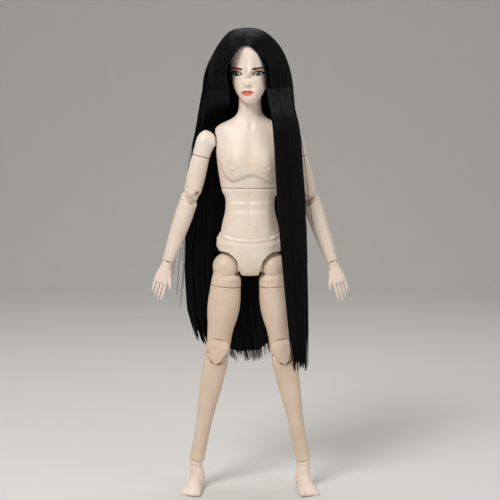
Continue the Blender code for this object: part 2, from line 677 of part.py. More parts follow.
# Torso
def build_torso():
    """Chest in two halves, the one-piece abdomen and pelvis, and the rod between them."""
    rows = rows_of(CHEST_shares, 0.0, CHEST_HEIGHT, CHEST_HALF_WIDTH, CHEST_FRONT, CHEST_BACK)
    neck_end = NECK_JOINT_Z - WAIST_SEAM_Z - GAP
    frame = frame_at((0, 0, WAIST_SEAM_Z + GAP))
    raised = raise_bumps(CHEST_BUMP_shares, 0.0, CHEST_HEIGHT, CHEST_HALF_WIDTH, PEC_HEIGHT)
    front, back = [loft(name, rows, TORSO_SIDES, surface=SKIN, frame=frame, bumps=[raised])
                   for name in ("chest_front", "chest_back")]

    wide = 2 * CHEST_HALF_WIDTH
    tall = 2 * CHEST_HEIGHT
    keep_front = box("keep_front", (-wide, CHEST_SPLIT_Y, -OVERRUN), (wide, wide, tall), frame=frame)
    keep_back = box("keep_back", (-wide, -wide, -OVERRUN), (wide, CHEST_SPLIT_Y + GAP, tall),
                    frame=frame)
    dome = ball("neck_dome", NECK_BALL, (0, NECK_Y, neck_end), frame=frame, sides=HIP_BALL_SIDES)

    hollow_rows = []
    for centre, inner, outer, ahead, rear in rows:
        if centre[2] > CHEST_HEIGHT * 0.84:
            break
        hollow_rows.append((centre, inner - CHEST_WALL, outer - CHEST_WALL,
                            ahead - CHEST_WALL, rear - CHEST_WALL))
    first = hollow_rows[0]
    floor = CHEST_WALL + 2 * (WAIST_DISC_THICKNESS + GAP)
    hollow_rows = [((0, 0, floor), *first[1:])] + [r for r in hollow_rows if r[0][2] > floor]
    hollow = loft("chest_hollow", hollow_rows, LIMB_SIDES, frame=frame)

    cuts = [hollow]
    disc_room = cylinder("waist_disc_room", WAIST_DISC_RADIUS + GAP, WAIST_DISC_THICKNESS + 2 * GAP,
                         centre=(0, 0, CHEST_WALL + WAIST_DISC_THICKNESS / 2 + GAP), frame=frame)
    rod_room = cylinder("waist_rod_room", WAIST_ROD_RADIUS + GAP, 2 * CHEST_WALL,
                        centre=(0, 0, CHEST_WALL / 2), frame=frame)
    cuts += [disc_room, rod_room]
    stem_room = ball("neck_stem_room", NECK_STEM_BALL + GAP, (0, NECK_Y, neck_end), frame=frame)
    funnel_top = NECK_STEM_TOP * math.tan(NOD_LIMIT) + NECK_STEM_RADIUS / math.cos(NOD_LIMIT) + GAP
    funnel = cylinder("neck_funnel", NECK_STEM_RADIUS + GAP, NECK_STEM_TOP,
                      centre=(0, NECK_Y, neck_end + NECK_STEM_TOP / 2 + GAP), frame=frame,
                      top_radius=funnel_top)
    cuts += [stem_room, funnel]
    for side in (-1, 1):
        place = (side * SHOULDER_X, 0, SHOULDER_Z - WAIST_SEAM_Z - GAP)
        reach = math.hypot(SHOULDER_X - SHOULDER_FACE_X - GAP, SHOULDER_RADIUS)
        dish = ball("shoulder_dish", reach + GAP, place, frame=frame)
        low, high = sorted((side * SHOULDER_FACE_X, side * wide))
        face = box("shoulder_face", (low, -wide, place[2] - 2 * SHOULDER_RADIUS), (high, wide, tall),
                   frame=frame)
        cuts += [dish, face]
    for half, keep in ((front, keep_front), (back, keep_back)):
        join(half, dome)
        cut(half, keep, *cuts)

    length = WAIST_SEAM_Z - PELVIS_BOTTOM_Z
    frame = frame_at((0, 0, PELVIS_BOTTOM_Z))
    rows = rows_of(LOWER_TORSO_shares, 0.0, length, PELVIS_HALF_WIDTH, PELVIS_FRONT, PELVIS_BACK)
    raised = raise_bumps(ABDOMEN_BUMP_shares, 0.0, length, PELVIS_HALF_WIDTH, PEC_HEIGHT)
    lower = loft("lower_torso", rows, TORSO_SIDES, surface=SKIN, frame=frame,
                 bumps=[raised, sag_waistband])
    rod_hole = cylinder("lower_rod_hole", WAIST_ROD_RADIUS + GAP, 2 * WAIST_SINK,
                        centre=(0, 0, length), frame=frame)
    cut(lower, rod_hole)
    rod_base = length - WAIST_SINK + GAP
    flange_z = WAIST_SEAM_Z - PELVIS_BOTTOM_Z + GAP + CHEST_WALL + WAIST_DISC_THICKNESS / 2 + GAP
    rod = cylinder("waist_rod", WAIST_ROD_RADIUS, flange_z - rod_base,
                   centre=(0, 0, (flange_z + rod_base) / 2), surface=NYLON, frame=frame)
    disc = cylinder("waist_disc", WAIST_DISC_RADIUS, WAIST_DISC_THICKNESS, centre=(0, 0, flange_z),
                    frame=frame)
    join(rod, disc)
    return front, back, lower


# Head
def build_head():
    """Vinyl head, the stem that it nods and turns on, and the rooted hair."""
    frame = frame_at((0, 0, HEAD_BOTTOM_Z))
    rows = rows_of(HEAD_shares, 0.0, HEAD_HEIGHT, HEAD_HALF_WIDTH, HEAD_FRONT, HEAD_BACK)
    face = raise_bumps(FACE_BUMP_shares, 0.0, HEAD_HEIGHT, HEAD_HALF_WIDTH, FACE_BUMP_HEIGHT)
    head = loft("head", rows, TORSO_SIDES, surface=VINYL, frame=frame, bumps=[face])
    at = NECK_JOINT_Z - HEAD_BOTTOM_Z
    socket = ball("head_socket", NECK_BALL + 2 * GAP, (0, NECK_Y, at), frame=frame,
                  sides=HIP_BALL_SIDES)
    flare = NECK_BALL + 2 * GAP + 2 * NECK_BALL * math.tan(NOD_LIMIT)
    swing_room = cylinder("head_neck_room", flare, 2 * NECK_BALL,
                          centre=(0, NECK_Y, at - NECK_BALL + GAP), frame=frame,
                          sides=HIP_BALL_SIDES, top_radius=NECK_BALL + 2 * GAP)
    stem_z = at + NECK_STEM_TOP
    stem_hole = cylinder("head_stem_hole", NECK_STEM_RADIUS + GAP, 2 * NECK_STEM_TOP,
                         centre=(0, NECK_Y, at + NECK_STEM_TOP / 2), frame=frame)
    flange_room = cylinder("head_flange_room", NECK_FLANGE_RADIUS + GAP,
                           NECK_FLANGE_THICKNESS + 2 * GAP, centre=(0, NECK_Y, stem_z), frame=frame)
    cut(head, socket, swing_room, stem_hole, flange_room)

    stem_frame = frame_at((0, NECK_Y, NECK_JOINT_Z))
    stem = cylinder("neck_stem", NECK_STEM_RADIUS, NECK_STEM_TOP, centre=(0, 0, NECK_STEM_TOP / 2),
                    surface=NYLON, frame=stem_frame)
    knob = ball("neck_stem_knob", NECK_STEM_BALL, frame=stem_frame)
    flange = cylinder("neck_stem_flange", NECK_FLANGE_RADIUS, NECK_FLANGE_THICKNESS,
                      centre=(0, 0, NECK_STEM_TOP), frame=stem_frame)
    join(stem, knob, flange)
    put_on_axis(head, stem_frame)


def build_hair():
    """Hair cap round the skull, the long fall behind and the lock in front of one shoulder."""
    tall = HAIR_TOP_Z - HAIR_CAP_BOTTOM_Z
    frame = frame_at((0, 0, HAIR_CAP_BOTTOM_Z))
    rows = rows_of(HAIR_CAP_shares, 0.0, tall, HAIR_CAP_HALF_WIDTH, HAIR_CAP_FRONT, HAIR_CAP_BACK)
    cap = loft("hair_cap", rows, TORSO_SIDES, surface=HAIR, frame=frame)
    skull_frame = frame_at((0, 0, HEAD_BOTTOM_Z))
    skull_rows = []
    for row in rows_of(HEAD_shares, 0.0, HEAD_HEIGHT, HEAD_HALF_WIDTH, HEAD_FRONT, HEAD_BACK)[2:]:
        skull_rows.append((row[0], *(reach + 2 * GAP for reach in row[1:])))
    last = skull_rows[-1]
    skull_rows.append(((last[0][0], last[0][1], last[0][2] + GAP), *last[1:]))
    skull = loft("skull_room", skull_rows, LIMB_SIDES, frame=skull_frame)
    points = [(x * HAIR_CAP_HALF_WIDTH, z * tall) for x, z in FACE_OPENING_shares]
    opening = outline("face_opening", points, -2 * HAIR_CAP_FRONT, 0.0, "Y", frame=frame)
    cut(cap, skull, opening)
    neck_joint = frame_at((0, NECK_Y, NECK_JOINT_Z))
    put_on_axis(cap, neck_joint)

    bm = bmesh.new()
    rings = []
    for down, right, left, ahead, behind in HAIR_FALL_shares:
        rings.append(hair_ring(bm, -down * HAIR_FALL_LENGTH, right * HAIR_FALL_HALF_WIDTH,
                               left * HAIR_FALL_HALF_WIDTH, ahead * HAIR_FALL_BACK,
                               behind * HAIR_FALL_BACK))
    bridge(bm, rings)
    fall_frame = frame_at((0, 0, HAIR_CAP_BOTTOM_Z - GAP))
    fall = new_object("hair_fall", bm, HAIR, fall_frame)
    put_on_axis(fall, neck_joint)

    lock_frame = frame_at((0, 0, LOCK_TOP_Z))
    rows = []
    for down, across, wide, ahead in LOCK_shares:
        half = wide * LOCK_HALF_WIDTH
        rows.append(((across * LOCK_HALF_WIDTH, -ahead * LOCK_FRONT, -down * LOCK_LENGTH),
                     half, half, LOCK_THICKNESS / 2, LOCK_THICKNESS / 2))
    lock = loft("hair_lock", rows[::-1], LIMB_SIDES, surface=HAIR, frame=lock_frame)
    put_on_axis(lock, neck_joint)


def hair_ring(bm, z, right, left, ahead, behind, steps=12):
    """A crescent that wraps the back, from its right edge round to its left edge."""
    middle = (left - right) / 2
    half = (left + right) / 2
    deep = behind - ahead
    outer = []
    inner = []
    for i in range(steps + 1):
        turn = math.pi * i / steps
        c, s = math.cos(turn), math.sin(turn)
        outer.append((middle - half * c, ahead + deep * s, z))
        inner.append((middle - (half - HAIR_THICKNESS) * c,
                      ahead + (deep - HAIR_THICKNESS * min(1.0, deep / (2 * HAIR_THICKNESS))) * s, z))
    return [bm.verts.new(point) for point in outer + inner[::-1]]


# Joints shared by arms and legs
def side_frame(side, place, opening=0.0):
    """A frame whose Z runs inward to the body and whose X is the pin that lets a limb rise."""
    c, s = math.cos(opening), math.sin(opening)
    turn = Matrix(((s, 0, -side * c), (-side * c, 0, -s), (0, 1, 0))).to_4x4()
    return Matrix.Translation(Vector(place)) @ turn


def peg_joint(name, child, owners, frame, eye, tongue, neck, shaft, shaft_top, swing, pin,
              pin_length, flange=None):
    """A tongue pinned in a slot of the child, on a shaft that turns in its owners.
    The shaft runs up the frame's Z and the pin lies along its X, closed in by the child, which
    swings about +X."""
    peg = cylinder(name + "_peg", eye, tongue, "X", surface=NYLON, frame=frame)
    flat = tongue / 2 - GAP / 2
    edge = math.sqrt(shaft ** 2 - flat ** 2)
    web = box(name + "_web", (-flat, -edge, 0), (flat, edge, neck + GAP), frame=frame)
    rod = cylinder(name + "_rod", shaft, shaft_top - neck, centre=(0, 0, (shaft_top + neck) / 2),
                   frame=frame)
    join(peg, web, rod)
    bore = cylinder(name + "_bore", shaft + GAP, shaft_top - neck + 2 * OVERRUN,
                    centre=(0, 0, (shaft_top + neck) / 2 + GAP - OVERRUN), frame=frame)
    rooms = [bore]
    if flange:
        radius, thickness = flange
        centre = (0, 0, shaft_top + GAP / 2 - thickness / 2)
        disc = cylinder(name + "_flange", radius, thickness, centre=centre, frame=frame)
        join(peg, disc)
        rooms.append(cylinder(name + "_flange_room", radius + GAP, thickness + 2 * GAP,
                              centre=centre, frame=frame))
    fan = sector(4 * neck, eye + GAP, -swing[1], -swing[0])
    slot = outline(name + "_slot", fan, -tongue / 2 - GAP, tongue / 2 + GAP, frame=frame)
    hole = cylinder(name + "_pin_hole", pin + GAP, pin_length + 2 * GAP, "X", frame=frame,
                    sides=PIN_SIDES)
    cut(child, slot, hole)
    cut(peg, hole)
    for owner in owners:
        cut(owner, *rooms)
    cylinder(name + "_pin", pin, pin_length, "X", surface=NYLON, frame=frame, sides=PIN_SIDES)
    return peg


def double_hinge(name, parent, child, frame, eye, thickness, reach, dome, column, fold, bend, pin,
                 pin_lengths, lead=0.0):
    """A link with an eye at each end, pinned in a fork of the parent and of the child.
    The frame sits on the upper pin, with -Z along the link and the pins along X.
    bend is -1 where the child folds forward and +1 where it folds back."""
    low = moved(frame, (0, 0, -reach))
    link = cylinder(name + "_link", eye, thickness, "X", surface=NYLON, frame=frame)
    far = cylinder(name + "_far_eye", eye, thickness, "X", frame=low)
    web = box(name + "_web", (-thickness / 2 + GAP / 2, -eye * 0.8, -reach),
              (thickness / 2 - GAP / 2, eye * 0.8, 0), frame=frame)
    join(link, far, web)

    half = thickness / 2 + GAP
    fan = sector(3 * dome, eye + GAP, 0.0, fold)
    slot = outline(name + "_upper_slot", [(-bend * a, -b) for a, b in fan], -half, half, frame=frame)
    cut(parent, slot)
    fan = sector(3 * dome, eye + GAP, -lead, fold)
    slot = outline(name + "_lower_slot", [(-bend * a, b) for a, b in fan], -half, half, frame=low)
    cut(child, slot)

    room = dome + GAP
    steps = 4
    for i in range(steps + 1):
        turn = bend * fold * i / steps
        lean = 2 * turn if i == steps else turn
        place = low @ Matrix.Rotation(-turn, 4, "X") @ Matrix.Translation((0, 0, reach))
        place = place @ Matrix.Rotation(turn - lean, 4, "X")
        points = arc(room, math.pi / 2, 3 * math.pi / 2, 8)
        points += [(column + GAP, dome), (column + GAP, 5 * dome), (-column - GAP, 5 * dome),
                   (-column - GAP, dome)]
        sweep = outline(name + "_sweep", points, -3 * dome, 3 * dome, frame=place)
        cut(child, sweep)

    for owner, end, where, length in ((parent, "upper", frame, pin_lengths[0]),
                                      (child, "lower", low, pin_lengths[1])):
        bore = cylinder(name + "_bore", pin + GAP, 2 * length, "X", frame=where, sides=PIN_SIDES)
        cut(owner, bore)
        cut(link, bore)
        cylinder(name + "_" + end + "_pin", pin, length, "X", surface=NYLON, frame=where,
                 sides=PIN_SIDES)
    return link


def turning_seam(owner, turning, frame, seam, radius, length):
    """A seam square to the limb, with a peg of the turning piece inside its owner."""
    stub = cylinder(turning.name + "_stub", radius, 2 * length, centre=(0, 0, -seam), frame=frame)
    hole = cylinder(owner.name + "_hole", radius + GAP, 2 * length + 2 * GAP, centre=(0, 0, -seam),
                    frame=frame)
    join(turning, stub)
    cut(owner, hole)


def shifted(rows, down):
    """The same rows, further down the limb."""
    return [((c[0], c[1], c[2] - down), *rest) for c, *rest in rows]


# Arms
def build_arm(side, chest):
    """Shoulder peg, cap, upper arm, elbow link, forearm, wrist peg and hand of one side."""
    tag = "left_" if side > 0 else "right_"
    place = (side * SHOULDER_X, 0, SHOULDER_Z)
    frame = frame_at(place, -side * ARM_TILT)
    cap = loft(tag + "shoulder_cap", shoulder_rows(), LIMB_SIDES, side, SKIN, frame)
    face = SHOULDER_X - SHOULDER_FACE_X - GAP
    wide = 4 * SHOULDER_RADIUS
    low, high = sorted((-side * face, -side * wide))
    cut(cap, box(tag + "cap_face", (low, -wide, -wide), (high, wide, wide), frame=frame_at(place)))
    neck = math.hypot(face, SHOULDER_RADIUS) + GAP
    peg_joint(tag + "shoulder", cap, chest, side_frame(side, place), SHOULDER_EYE, SHOULDER_TONGUE,
              neck, SHOULDER_SHAFT, neck + CHEST_WALL + SHOULDER_FLANGE_THICKNESS, RAISE_LIMITS,
              PIN_RADIUS, 1.6 * UPPER_ARM_RADIUS,
              (SHOULDER_FLANGE_RADIUS, SHOULDER_FLANGE_THICKNESS))

    span = UPPER_ARM_LENGTH - ARM_SEAM - GAP
    rows = shifted(rows_of(UPPER_ARM_shares, 0.0, -span, UPPER_ARM_RADIUS, UPPER_ARM_RADIUS,
                           UPPER_ARM_RADIUS), ARM_SEAM + GAP)
    rows += dome_rows(rows[-1], ELBOW_DOME, -1, 1.0)
    arm = loft(tag + "upper_arm", rows, LIMB_SIDES, side, SKIN, frame)
    turning_seam(cap, arm, frame, ARM_SEAM, ARM_PEG_RADIUS, ARM_PEG_LENGTH)

    elbow = (frame @ Matrix.Translation((0, 0, -UPPER_ARM_LENGTH))).to_translation()
    straight = frame_at(elbow, -side * FOREARM_TILT)
    rows = rows_of(FOREARM_shares, 0.0, -FOREARM_LENGTH, FOREARM_RADIUS, FOREARM_RADIUS,
                   FOREARM_RADIUS)
    forearm = loft(tag + "forearm", rows, LIMB_SIDES, side, SKIN, straight)
    hinge = frame_at(elbow, -side * FOREARM_TILT, -side * ELBOW_TWIST)
    double_hinge(tag + "elbow", arm, forearm, hinge, ELBOW_EYE, ELBOW_LINK, ELBOW_REACH, ELBOW_DOME,
                 UPPER_ARM_RADIUS, ELBOW_FOLD, -1, PIN_RADIUS,
                 (1.76 * ELBOW_DOME, 1.7 * FOREARM_RADIUS))
    build_hand(side, tag, straight, forearm)
    put_on_axis(forearm, moved(hinge, (0, 0, -ELBOW_REACH)))


def shoulder_rows():
    """Rounded top of the arm down to the turning seam, in the arm's frame."""
    rows = []
    steps = 7
    for i in range(steps):
        turn = math.pi / 2 - (i + 0.45) * (math.pi / 2) / (steps - 0.55)
        radius = (SHOULDER_RADIUS + GAP) * math.cos(turn)
        z = (SHOULDER_RADIUS + GAP) * math.sin(turn)
        rows.append(((0, 0, z), radius * 1.04, radius * 0.80, radius * 0.92, radius * 0.92))
    r = UPPER_ARM_RADIUS
    rows.append(((0, 0, -0.30 * ARM_SEAM), r * 1.10, r * 0.88, r * 0.98, r * 0.98))
    rows.append(((0, 0, -0.62 * ARM_SEAM), r * 0.98, r * 0.90, r * 0.95, r * 0.95))
    rows.append(((0, 0, -ARM_SEAM), r * 0.94, r * 0.90, r * 0.92, r * 0.92))
    return rows[::-1]


def build_hand(side, tag, frame, forearm):
    """The hand on the peg that lets it turn and bend."""
    pivot = (0, 0, -FOREARM_LENGTH - WRIST_DROP)
    wrist = moved(frame, pivot)
    cut(forearm, ball(tag + "wrist_cup", WRIST_BALL + GAP, frame=wrist))
    hand_frame = moved(wrist, (0, 0, 0), side * HAND_TURN)
    rows = shifted(rows_of(PALM_shares, 0.0, -PALM_LENGTH, PALM_HALF_WIDTH, PALM_HALF_DEPTH,
                           PALM_HALF_DEPTH), PALM_START)
    hand = loft(tag + "hand", rows, LIMB_SIDES, side, VINYL, hand_frame)
    join(hand, ball(tag + "hand_ball", WRIST_BALL, frame=hand_frame))
    for i, (across, long, curl) in enumerate(FINGER_shares):
        start = (side * across * PALM_HALF_WIDTH, -PALM_LENGTH * 0.90)
        join(hand, digit(tag + "finger", FINGER_RADIUS, HAND_LENGTH * long, start, curl,
                         side * across * 0.4, hand_frame))
    start = (-side * PALM_HALF_WIDTH * 0.62, -PALM_LENGTH * 0.34)
    join(hand, digit(tag + "thumb", THUMB_RADIUS, HAND_LENGTH * 0.42, start, -0.05,
                     -side * THUMB_FAN_share, hand_frame))
    peg_joint(tag + "wrist", hand, [forearm], wrist, WRIST_EYE, WRIST_TONGUE, WRIST_BALL + GAP,
              WRIST_SHAFT, WRIST_SHAFT_TOP, WRIST_LIMITS, WRIST_PIN, 1.4 * WRIST_BALL)


def digit(name, radius, length, start, curl, fan, frame):
    """A tapered round finger with a soft bend towards the palm side."""
    bm = bmesh.new()
    rings = []
    steps = 4
    for i in range(steps + 1):
        t = i / steps
        thin = radius * (1.0 - 0.22 * t)
        if i == steps:
            thin *= 0.45
        place = (start[0] + fan * length * 0.10 * t, curl * length * t * t,
                 start[1] - length * (t - 0.12 * abs(curl) * t * t))
        rings.append(oval(bm, 6, place, thin, thin, thin, thin))
    bridge(bm, rings)
    return new_object(name, bm, frame=frame)


# Legs
def build_leg(side, lower):
    """Hip peg, hip cap, thigh, knee link with its kneecap, shin, ankle peg and foot."""
    tag = "left_" if side > 0 else "right_"
    place = (side * HIP_X, 0, HIP_Z)
    frame = leg_frame(place, -side * THIGH_TILT)

    cap = ball(tag + "hip_cap", HIP_BALL, surface=SKIN, frame=frame, sides=HIP_BALL_SIDES)
    rows = rows_of(HIP_CAP_shares, 0.0, -HIP_SEAM, THIGH_HALF_WIDTH, THIGH_FRONT, THIGH_BACK)
    skirt = loft(tag + "hip_skirt", rows, LIMB_SIDES, side, frame=frame)
    join(cap, skirt)
    open_pelvis(side, tag, lower, place)
    peg_joint(tag + "hip", cap, [lower], side_frame(side, place, HIP_OPENING), HIP_EYE, HIP_TONGUE,
              HIP_BALL + GAP, HIP_SHAFT, HIP_SHAFT_TOP, SPREAD_LIMITS, HIP_PIN, 1.5 * HIP_BALL)

    rows = shifted(rows_of(THIGH_shares, 0.0, HIP_SEAM + GAP - THIGH_LENGTH, THIGH_HALF_WIDTH,
                           THIGH_FRONT, THIGH_BACK), HIP_SEAM + GAP)
    rows += dome_rows(rows[-1], KNEE_DOME, -1, 0.5)
    thigh = loft(tag + "thigh", rows, LIMB_SIDES, side, SKIN, frame)
    turning_seam(cap, thigh, frame, HIP_SEAM, HIP_PEG_RADIUS, HIP_PEG_LENGTH)

    knee = (frame @ Matrix.Translation((0, 0, -THIGH_LENGTH))).to_translation()
    hinge = leg_frame(knee, -side * SHIN_TILT)
    rows = rows_of(SHIN_shares, 0.0, -SHIN_LENGTH, SHIN_HALF_WIDTH, SHIN_FRONT, SHIN_BACK)
    shin = loft(tag + "shin", rows, LIMB_SIDES, side, SKIN, hinge)
    link = double_hinge(tag + "knee", thigh, shin, hinge, KNEE_EYE, KNEE_LINK, KNEE_REACH, KNEE_DOME,
                        0.72 * THIGH_BACK, KNEE_FOLD, 1, KNEE_PIN,
                        (1.7 * KNEE_DOME, 1.76 * SHIN_HALF_WIDTH), KNEE_LEAD)
    build_kneecap(tag, link, thigh, shin, hinge)
    build_foot(side, tag, hinge, shin)
    put_on_axis(shin, moved(hinge, (0, 0, -KNEE_REACH)))


def open_pelvis(side, tag, lower, place):
    """The socket and the way in which the leg swings forward, and a little outward, and back."""
    turned_out = frame_at(place, 0.0, side * HIP_OPENING)
    cut(lower, ball(tag + "hip_cup", HIP_BALL + GAP, frame=turned_out, sides=HIP_BALL_SIDES))
    room = THIGH_HALF_WIDTH + GAP
    long = 4 * HIP_BALL
    arch = [(-room, -long), (room, -long), (room, 0.0)]
    arch += [(room * math.cos(math.pi * i / 8), room * math.sin(math.pi * i / 8))
             for i in range(1, 8)]
    arch.append((-room, 0.0))
    way = outline(tag + "hip_way", arch, -long, OVERRUN / 4, "Y", frame=turned_out)
    cut(lower, way)
    for share in (0.0, 0.5, 1.0):
        back = turned_out @ Matrix.Rotation(SWING_BACK * share, 4, "X")
        column = cylinder(tag + "hip_column", room + 2 * GAP, HIP_SEAM, centre=(0, 0, -0.64 * HIP_SEAM),
                          frame=back, top_radius=HIP_BALL + GAP)
        cut(lower, column)


def build_kneecap(tag, link, thigh, shin, frame):
    """The shield in front of the knee, which moves with the link."""
    inside = KNEE_DOME + GAP
    profile = [(-inside * math.cos(turn), inside * math.sin(turn))
               for turn in [math.radians(24.0 - 12.5 * i) for i in range(7)]]
    profile += [(-KNEECAP_BACK, -KNEE_REACH + 0.28 * KNEE_EYE), (-KNEECAP_BACK, -KNEECAP_BOTTOM),
                (-KNEECAP_FRONT * 0.92, -KNEECAP_BOTTOM), (-KNEECAP_FRONT, -KNEE_REACH),
                (-KNEECAP_FRONT * 1.02, 0.0), (-KNEECAP_FRONT * 0.94, KNEECAP_TOP)]
    shield = []
    for across, down, end in KNEECAP_shares:
        z = down * KNEECAP_TOP if end == "top" else -down * KNEECAP_BOTTOM
        shield.append((across * KNEECAP_HALF_WIDTH, z))
    plate = outline(tag + "kneecap", profile, -KNEECAP_HALF_WIDTH, KNEECAP_HALF_WIDTH,
                    surface=SKIN, frame=frame)
    trim = outline(tag + "kneecap_trim", shield, -2 * KNEECAP_FRONT, 0.0, "Y", frame=frame)
    boolean(plate, trim, "INTERSECT")

    room = KNEECAP_HALF_WIDTH + GAP
    ring = arc(KNEE_DOME, math.radians(61.0), math.radians(180.0), 9)
    ring += arc(2 * KNEE_DOME, math.radians(180.0), math.radians(61.0), 5)
    pocket = outline(tag + "thigh_pocket", ring, -room, room, frame=frame)
    cut(thigh, pocket)
    notch = box(tag + "shin_notch", (-room, -4 * KNEE_DOME, -KNEECAP_BOTTOM - GAP),
                (room, -KNEECAP_BACK + GAP, KNEE_DOME), frame=frame)
    ring = arc(KNEECAP_BACK - GAP, math.radians(14.0), math.radians(92.0), 5)
    ring += arc(2 * KNEE_DOME, math.radians(92.0), math.radians(14.0), 5)
    swept = outline(tag + "shin_pocket", ring, -room, room, frame=moved(frame, (0, 0, -KNEE_REACH)))
    cut(shin, notch, swept)
    key = box(tag + "kneecap_key", (-KNEE_LINK / 2 + GAP, -KNEECAP_BACK - OVERRUN / 4, -KNEE_REACH),
              (KNEE_LINK / 2 - GAP, -KNEE_EYE / 2, -KNEE_DOME - GAP), frame=frame)
    join(link, key)
    cut(plate, grown_key(tag, frame))
    return plate


def grown_key(tag, frame):
    """The mortise of the kneecap that the link's key sits in."""
    half = KNEE_LINK / 2
    return box(tag + "kneecap_mortise", (-half, -KNEECAP_BACK - OVERRUN / 4 - GAP, -KNEE_REACH - GAP),
               (half, 0, -KNEE_DOME + GAP), frame=frame)


def build_foot(side, tag, leg, shin):
    """The foot with its toes, on the peg that lets it bend and turn."""
    ankle = moved(leg, (0, 0, -SHIN_LENGTH - ANKLE_DROP))
    cut(shin, ball(tag + "ankle_cup", ANKLE_BALL + GAP, frame=ankle))
    centre = ankle.to_translation()
    ground = frame_at((centre.x, centre.y, 0), 0.0, side * FOOT_TURN)
    bm = bmesh.new()
    rings = []
    for along, across, inner, outer, top in FOOT_shares:
        y = -along * (FOOT_FRONT if along > 0 else FOOT_BACK)
        ring = []
        for i in range(LIMB_SIDES):
            turn = 2 * math.pi * i / LIMB_SIDES
            c, s = math.cos(turn), math.sin(turn)
            x = side * (across + c * (outer if c > 0 else inner)) * FOOT_HALF_WIDTH
            z = FOOT_EDGE + s * (top * FOOT_HEIGHT - FOOT_EDGE)
            if s < 0:
                z = FOOT_EDGE * (1 - min(1, -s / 0.4))
            ring.append(bm.verts.new((x, y, z)))
        rings.append(ring)
    bridge(bm, rings)
    foot = new_object(tag + "foot", bm, VINYL, ground)
    rise = centre.z - ANKLE_BALL * 0.6 - 0.4 * FOOT_HEIGHT
    lean = math.tan(SHIN_TILT) * rise
    rows = []
    for up, wide, ahead, behind in ANKLE_shares:
        rows.append(((-(1 - up) * lean * 0.5, 0, 0.4 * FOOT_HEIGHT + up * rise), wide * ANKLE_BALL,
                     wide * ANKLE_BALL, ahead * ANKLE_BALL, behind * ANKLE_BALL))
    join(foot, loft(tag + "ankle", rows, LIMB_SIDES, side, frame=ground))
    join(foot, ball(tag + "ankle_ball", ANKLE_BALL, frame=ankle))
    for across, reach, size in TOE_shares:
        radius = size * TOE_RADIUS
        place = (side * across * 0.78 * FOOT_HALF_WIDTH, -reach * FOOT_FRONT + 1.3 * radius, radius)
        toe = ball(tag + "toe", radius, frame=ground @ Matrix.Translation(place)
                   @ Matrix.Diagonal((1.0, 1.3, 1.0, 1.0)), sides=8)
        join(foot, toe)
    sole = box(tag + "under", (-4 * FOOT_FRONT, -4 * FOOT_FRONT, -FOOT_FRONT),
               (4 * FOOT_FRONT, 4 * FOOT_FRONT, 0), frame=ground)
    cut(foot, sole)
    peg_joint(tag + "ankle", foot, [shin], ankle, ANKLE_EYE, ANKLE_TONGUE, ANKLE_BALL + GAP,
              ANKLE_SHAFT, ANKLE_SHAFT_TOP, ANKLE_LIMITS, PIN_RADIUS, 1.4 * ANKLE_BALL)
    put_on_axis(foot, ankle)


def main():
    front, back, lower = build_torso()
    build_head()
    build_hair()
    for side in (-1, 1):
        build_arm(side, [front, back])
        build_leg(side, lower)


main()
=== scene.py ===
# %% [markdown]
# A jointed fashion doll: a hard plastic body with pinned joints, a soft vinyl head, hands and
# feet, and long straight hair rooted in the head. The frame brings the working parts, each in
# its place. This script gives every visible part its fine surface, its paint and its hair.

# %% Tools and the working frame
import json
import math
import random

import bmesh
import bpy
from mathutils import Matrix, Vector, kdtree
from mathutils.bvhtree import BVHTree

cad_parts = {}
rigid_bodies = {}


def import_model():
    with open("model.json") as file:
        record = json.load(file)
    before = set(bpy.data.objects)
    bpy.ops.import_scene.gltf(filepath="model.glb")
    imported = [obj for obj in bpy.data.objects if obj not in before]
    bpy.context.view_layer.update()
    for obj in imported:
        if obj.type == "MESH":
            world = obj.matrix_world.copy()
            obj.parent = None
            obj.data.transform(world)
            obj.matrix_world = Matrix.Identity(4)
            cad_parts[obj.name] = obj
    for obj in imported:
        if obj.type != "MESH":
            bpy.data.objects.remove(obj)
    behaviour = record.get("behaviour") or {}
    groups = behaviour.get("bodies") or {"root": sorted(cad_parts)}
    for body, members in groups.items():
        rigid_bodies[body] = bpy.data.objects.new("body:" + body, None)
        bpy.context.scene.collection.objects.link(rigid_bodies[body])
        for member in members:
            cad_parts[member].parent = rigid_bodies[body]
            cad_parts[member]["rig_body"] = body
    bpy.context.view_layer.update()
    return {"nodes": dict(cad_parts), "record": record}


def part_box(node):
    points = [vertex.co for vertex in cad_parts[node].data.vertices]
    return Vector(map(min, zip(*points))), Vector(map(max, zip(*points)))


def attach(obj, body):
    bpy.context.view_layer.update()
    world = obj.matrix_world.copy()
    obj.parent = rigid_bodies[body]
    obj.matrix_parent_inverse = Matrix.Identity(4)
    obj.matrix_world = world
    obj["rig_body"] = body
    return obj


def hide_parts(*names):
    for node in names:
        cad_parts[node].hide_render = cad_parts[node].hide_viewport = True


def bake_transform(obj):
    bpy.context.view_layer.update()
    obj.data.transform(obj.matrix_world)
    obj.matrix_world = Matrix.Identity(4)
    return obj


MM = 0.001

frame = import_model()
scene = bpy.context.scene
slots = {part["node"]: part["material_slot"] for part in frame["record"]["subparts"]}

# %% [markdown]
# A finish is a small tree of shader nodes. One function adds a node with its settings and its
# links, and another turns the sRGB hex value that a painter would name into linear light.


# %% Colours and shader nodes
def linear(code):
    """An sRGB hex colour as the linear red, green, blue and alpha that a shader takes."""
    channels = [int(code[i:i + 2], 16) / 255 for i in (0, 2, 4)]
    light = [c / 12.92 if c <= 0.04045 else ((c + 0.055) / 1.055) ** 2.4 for c in channels]
    return (*light, 1.0)


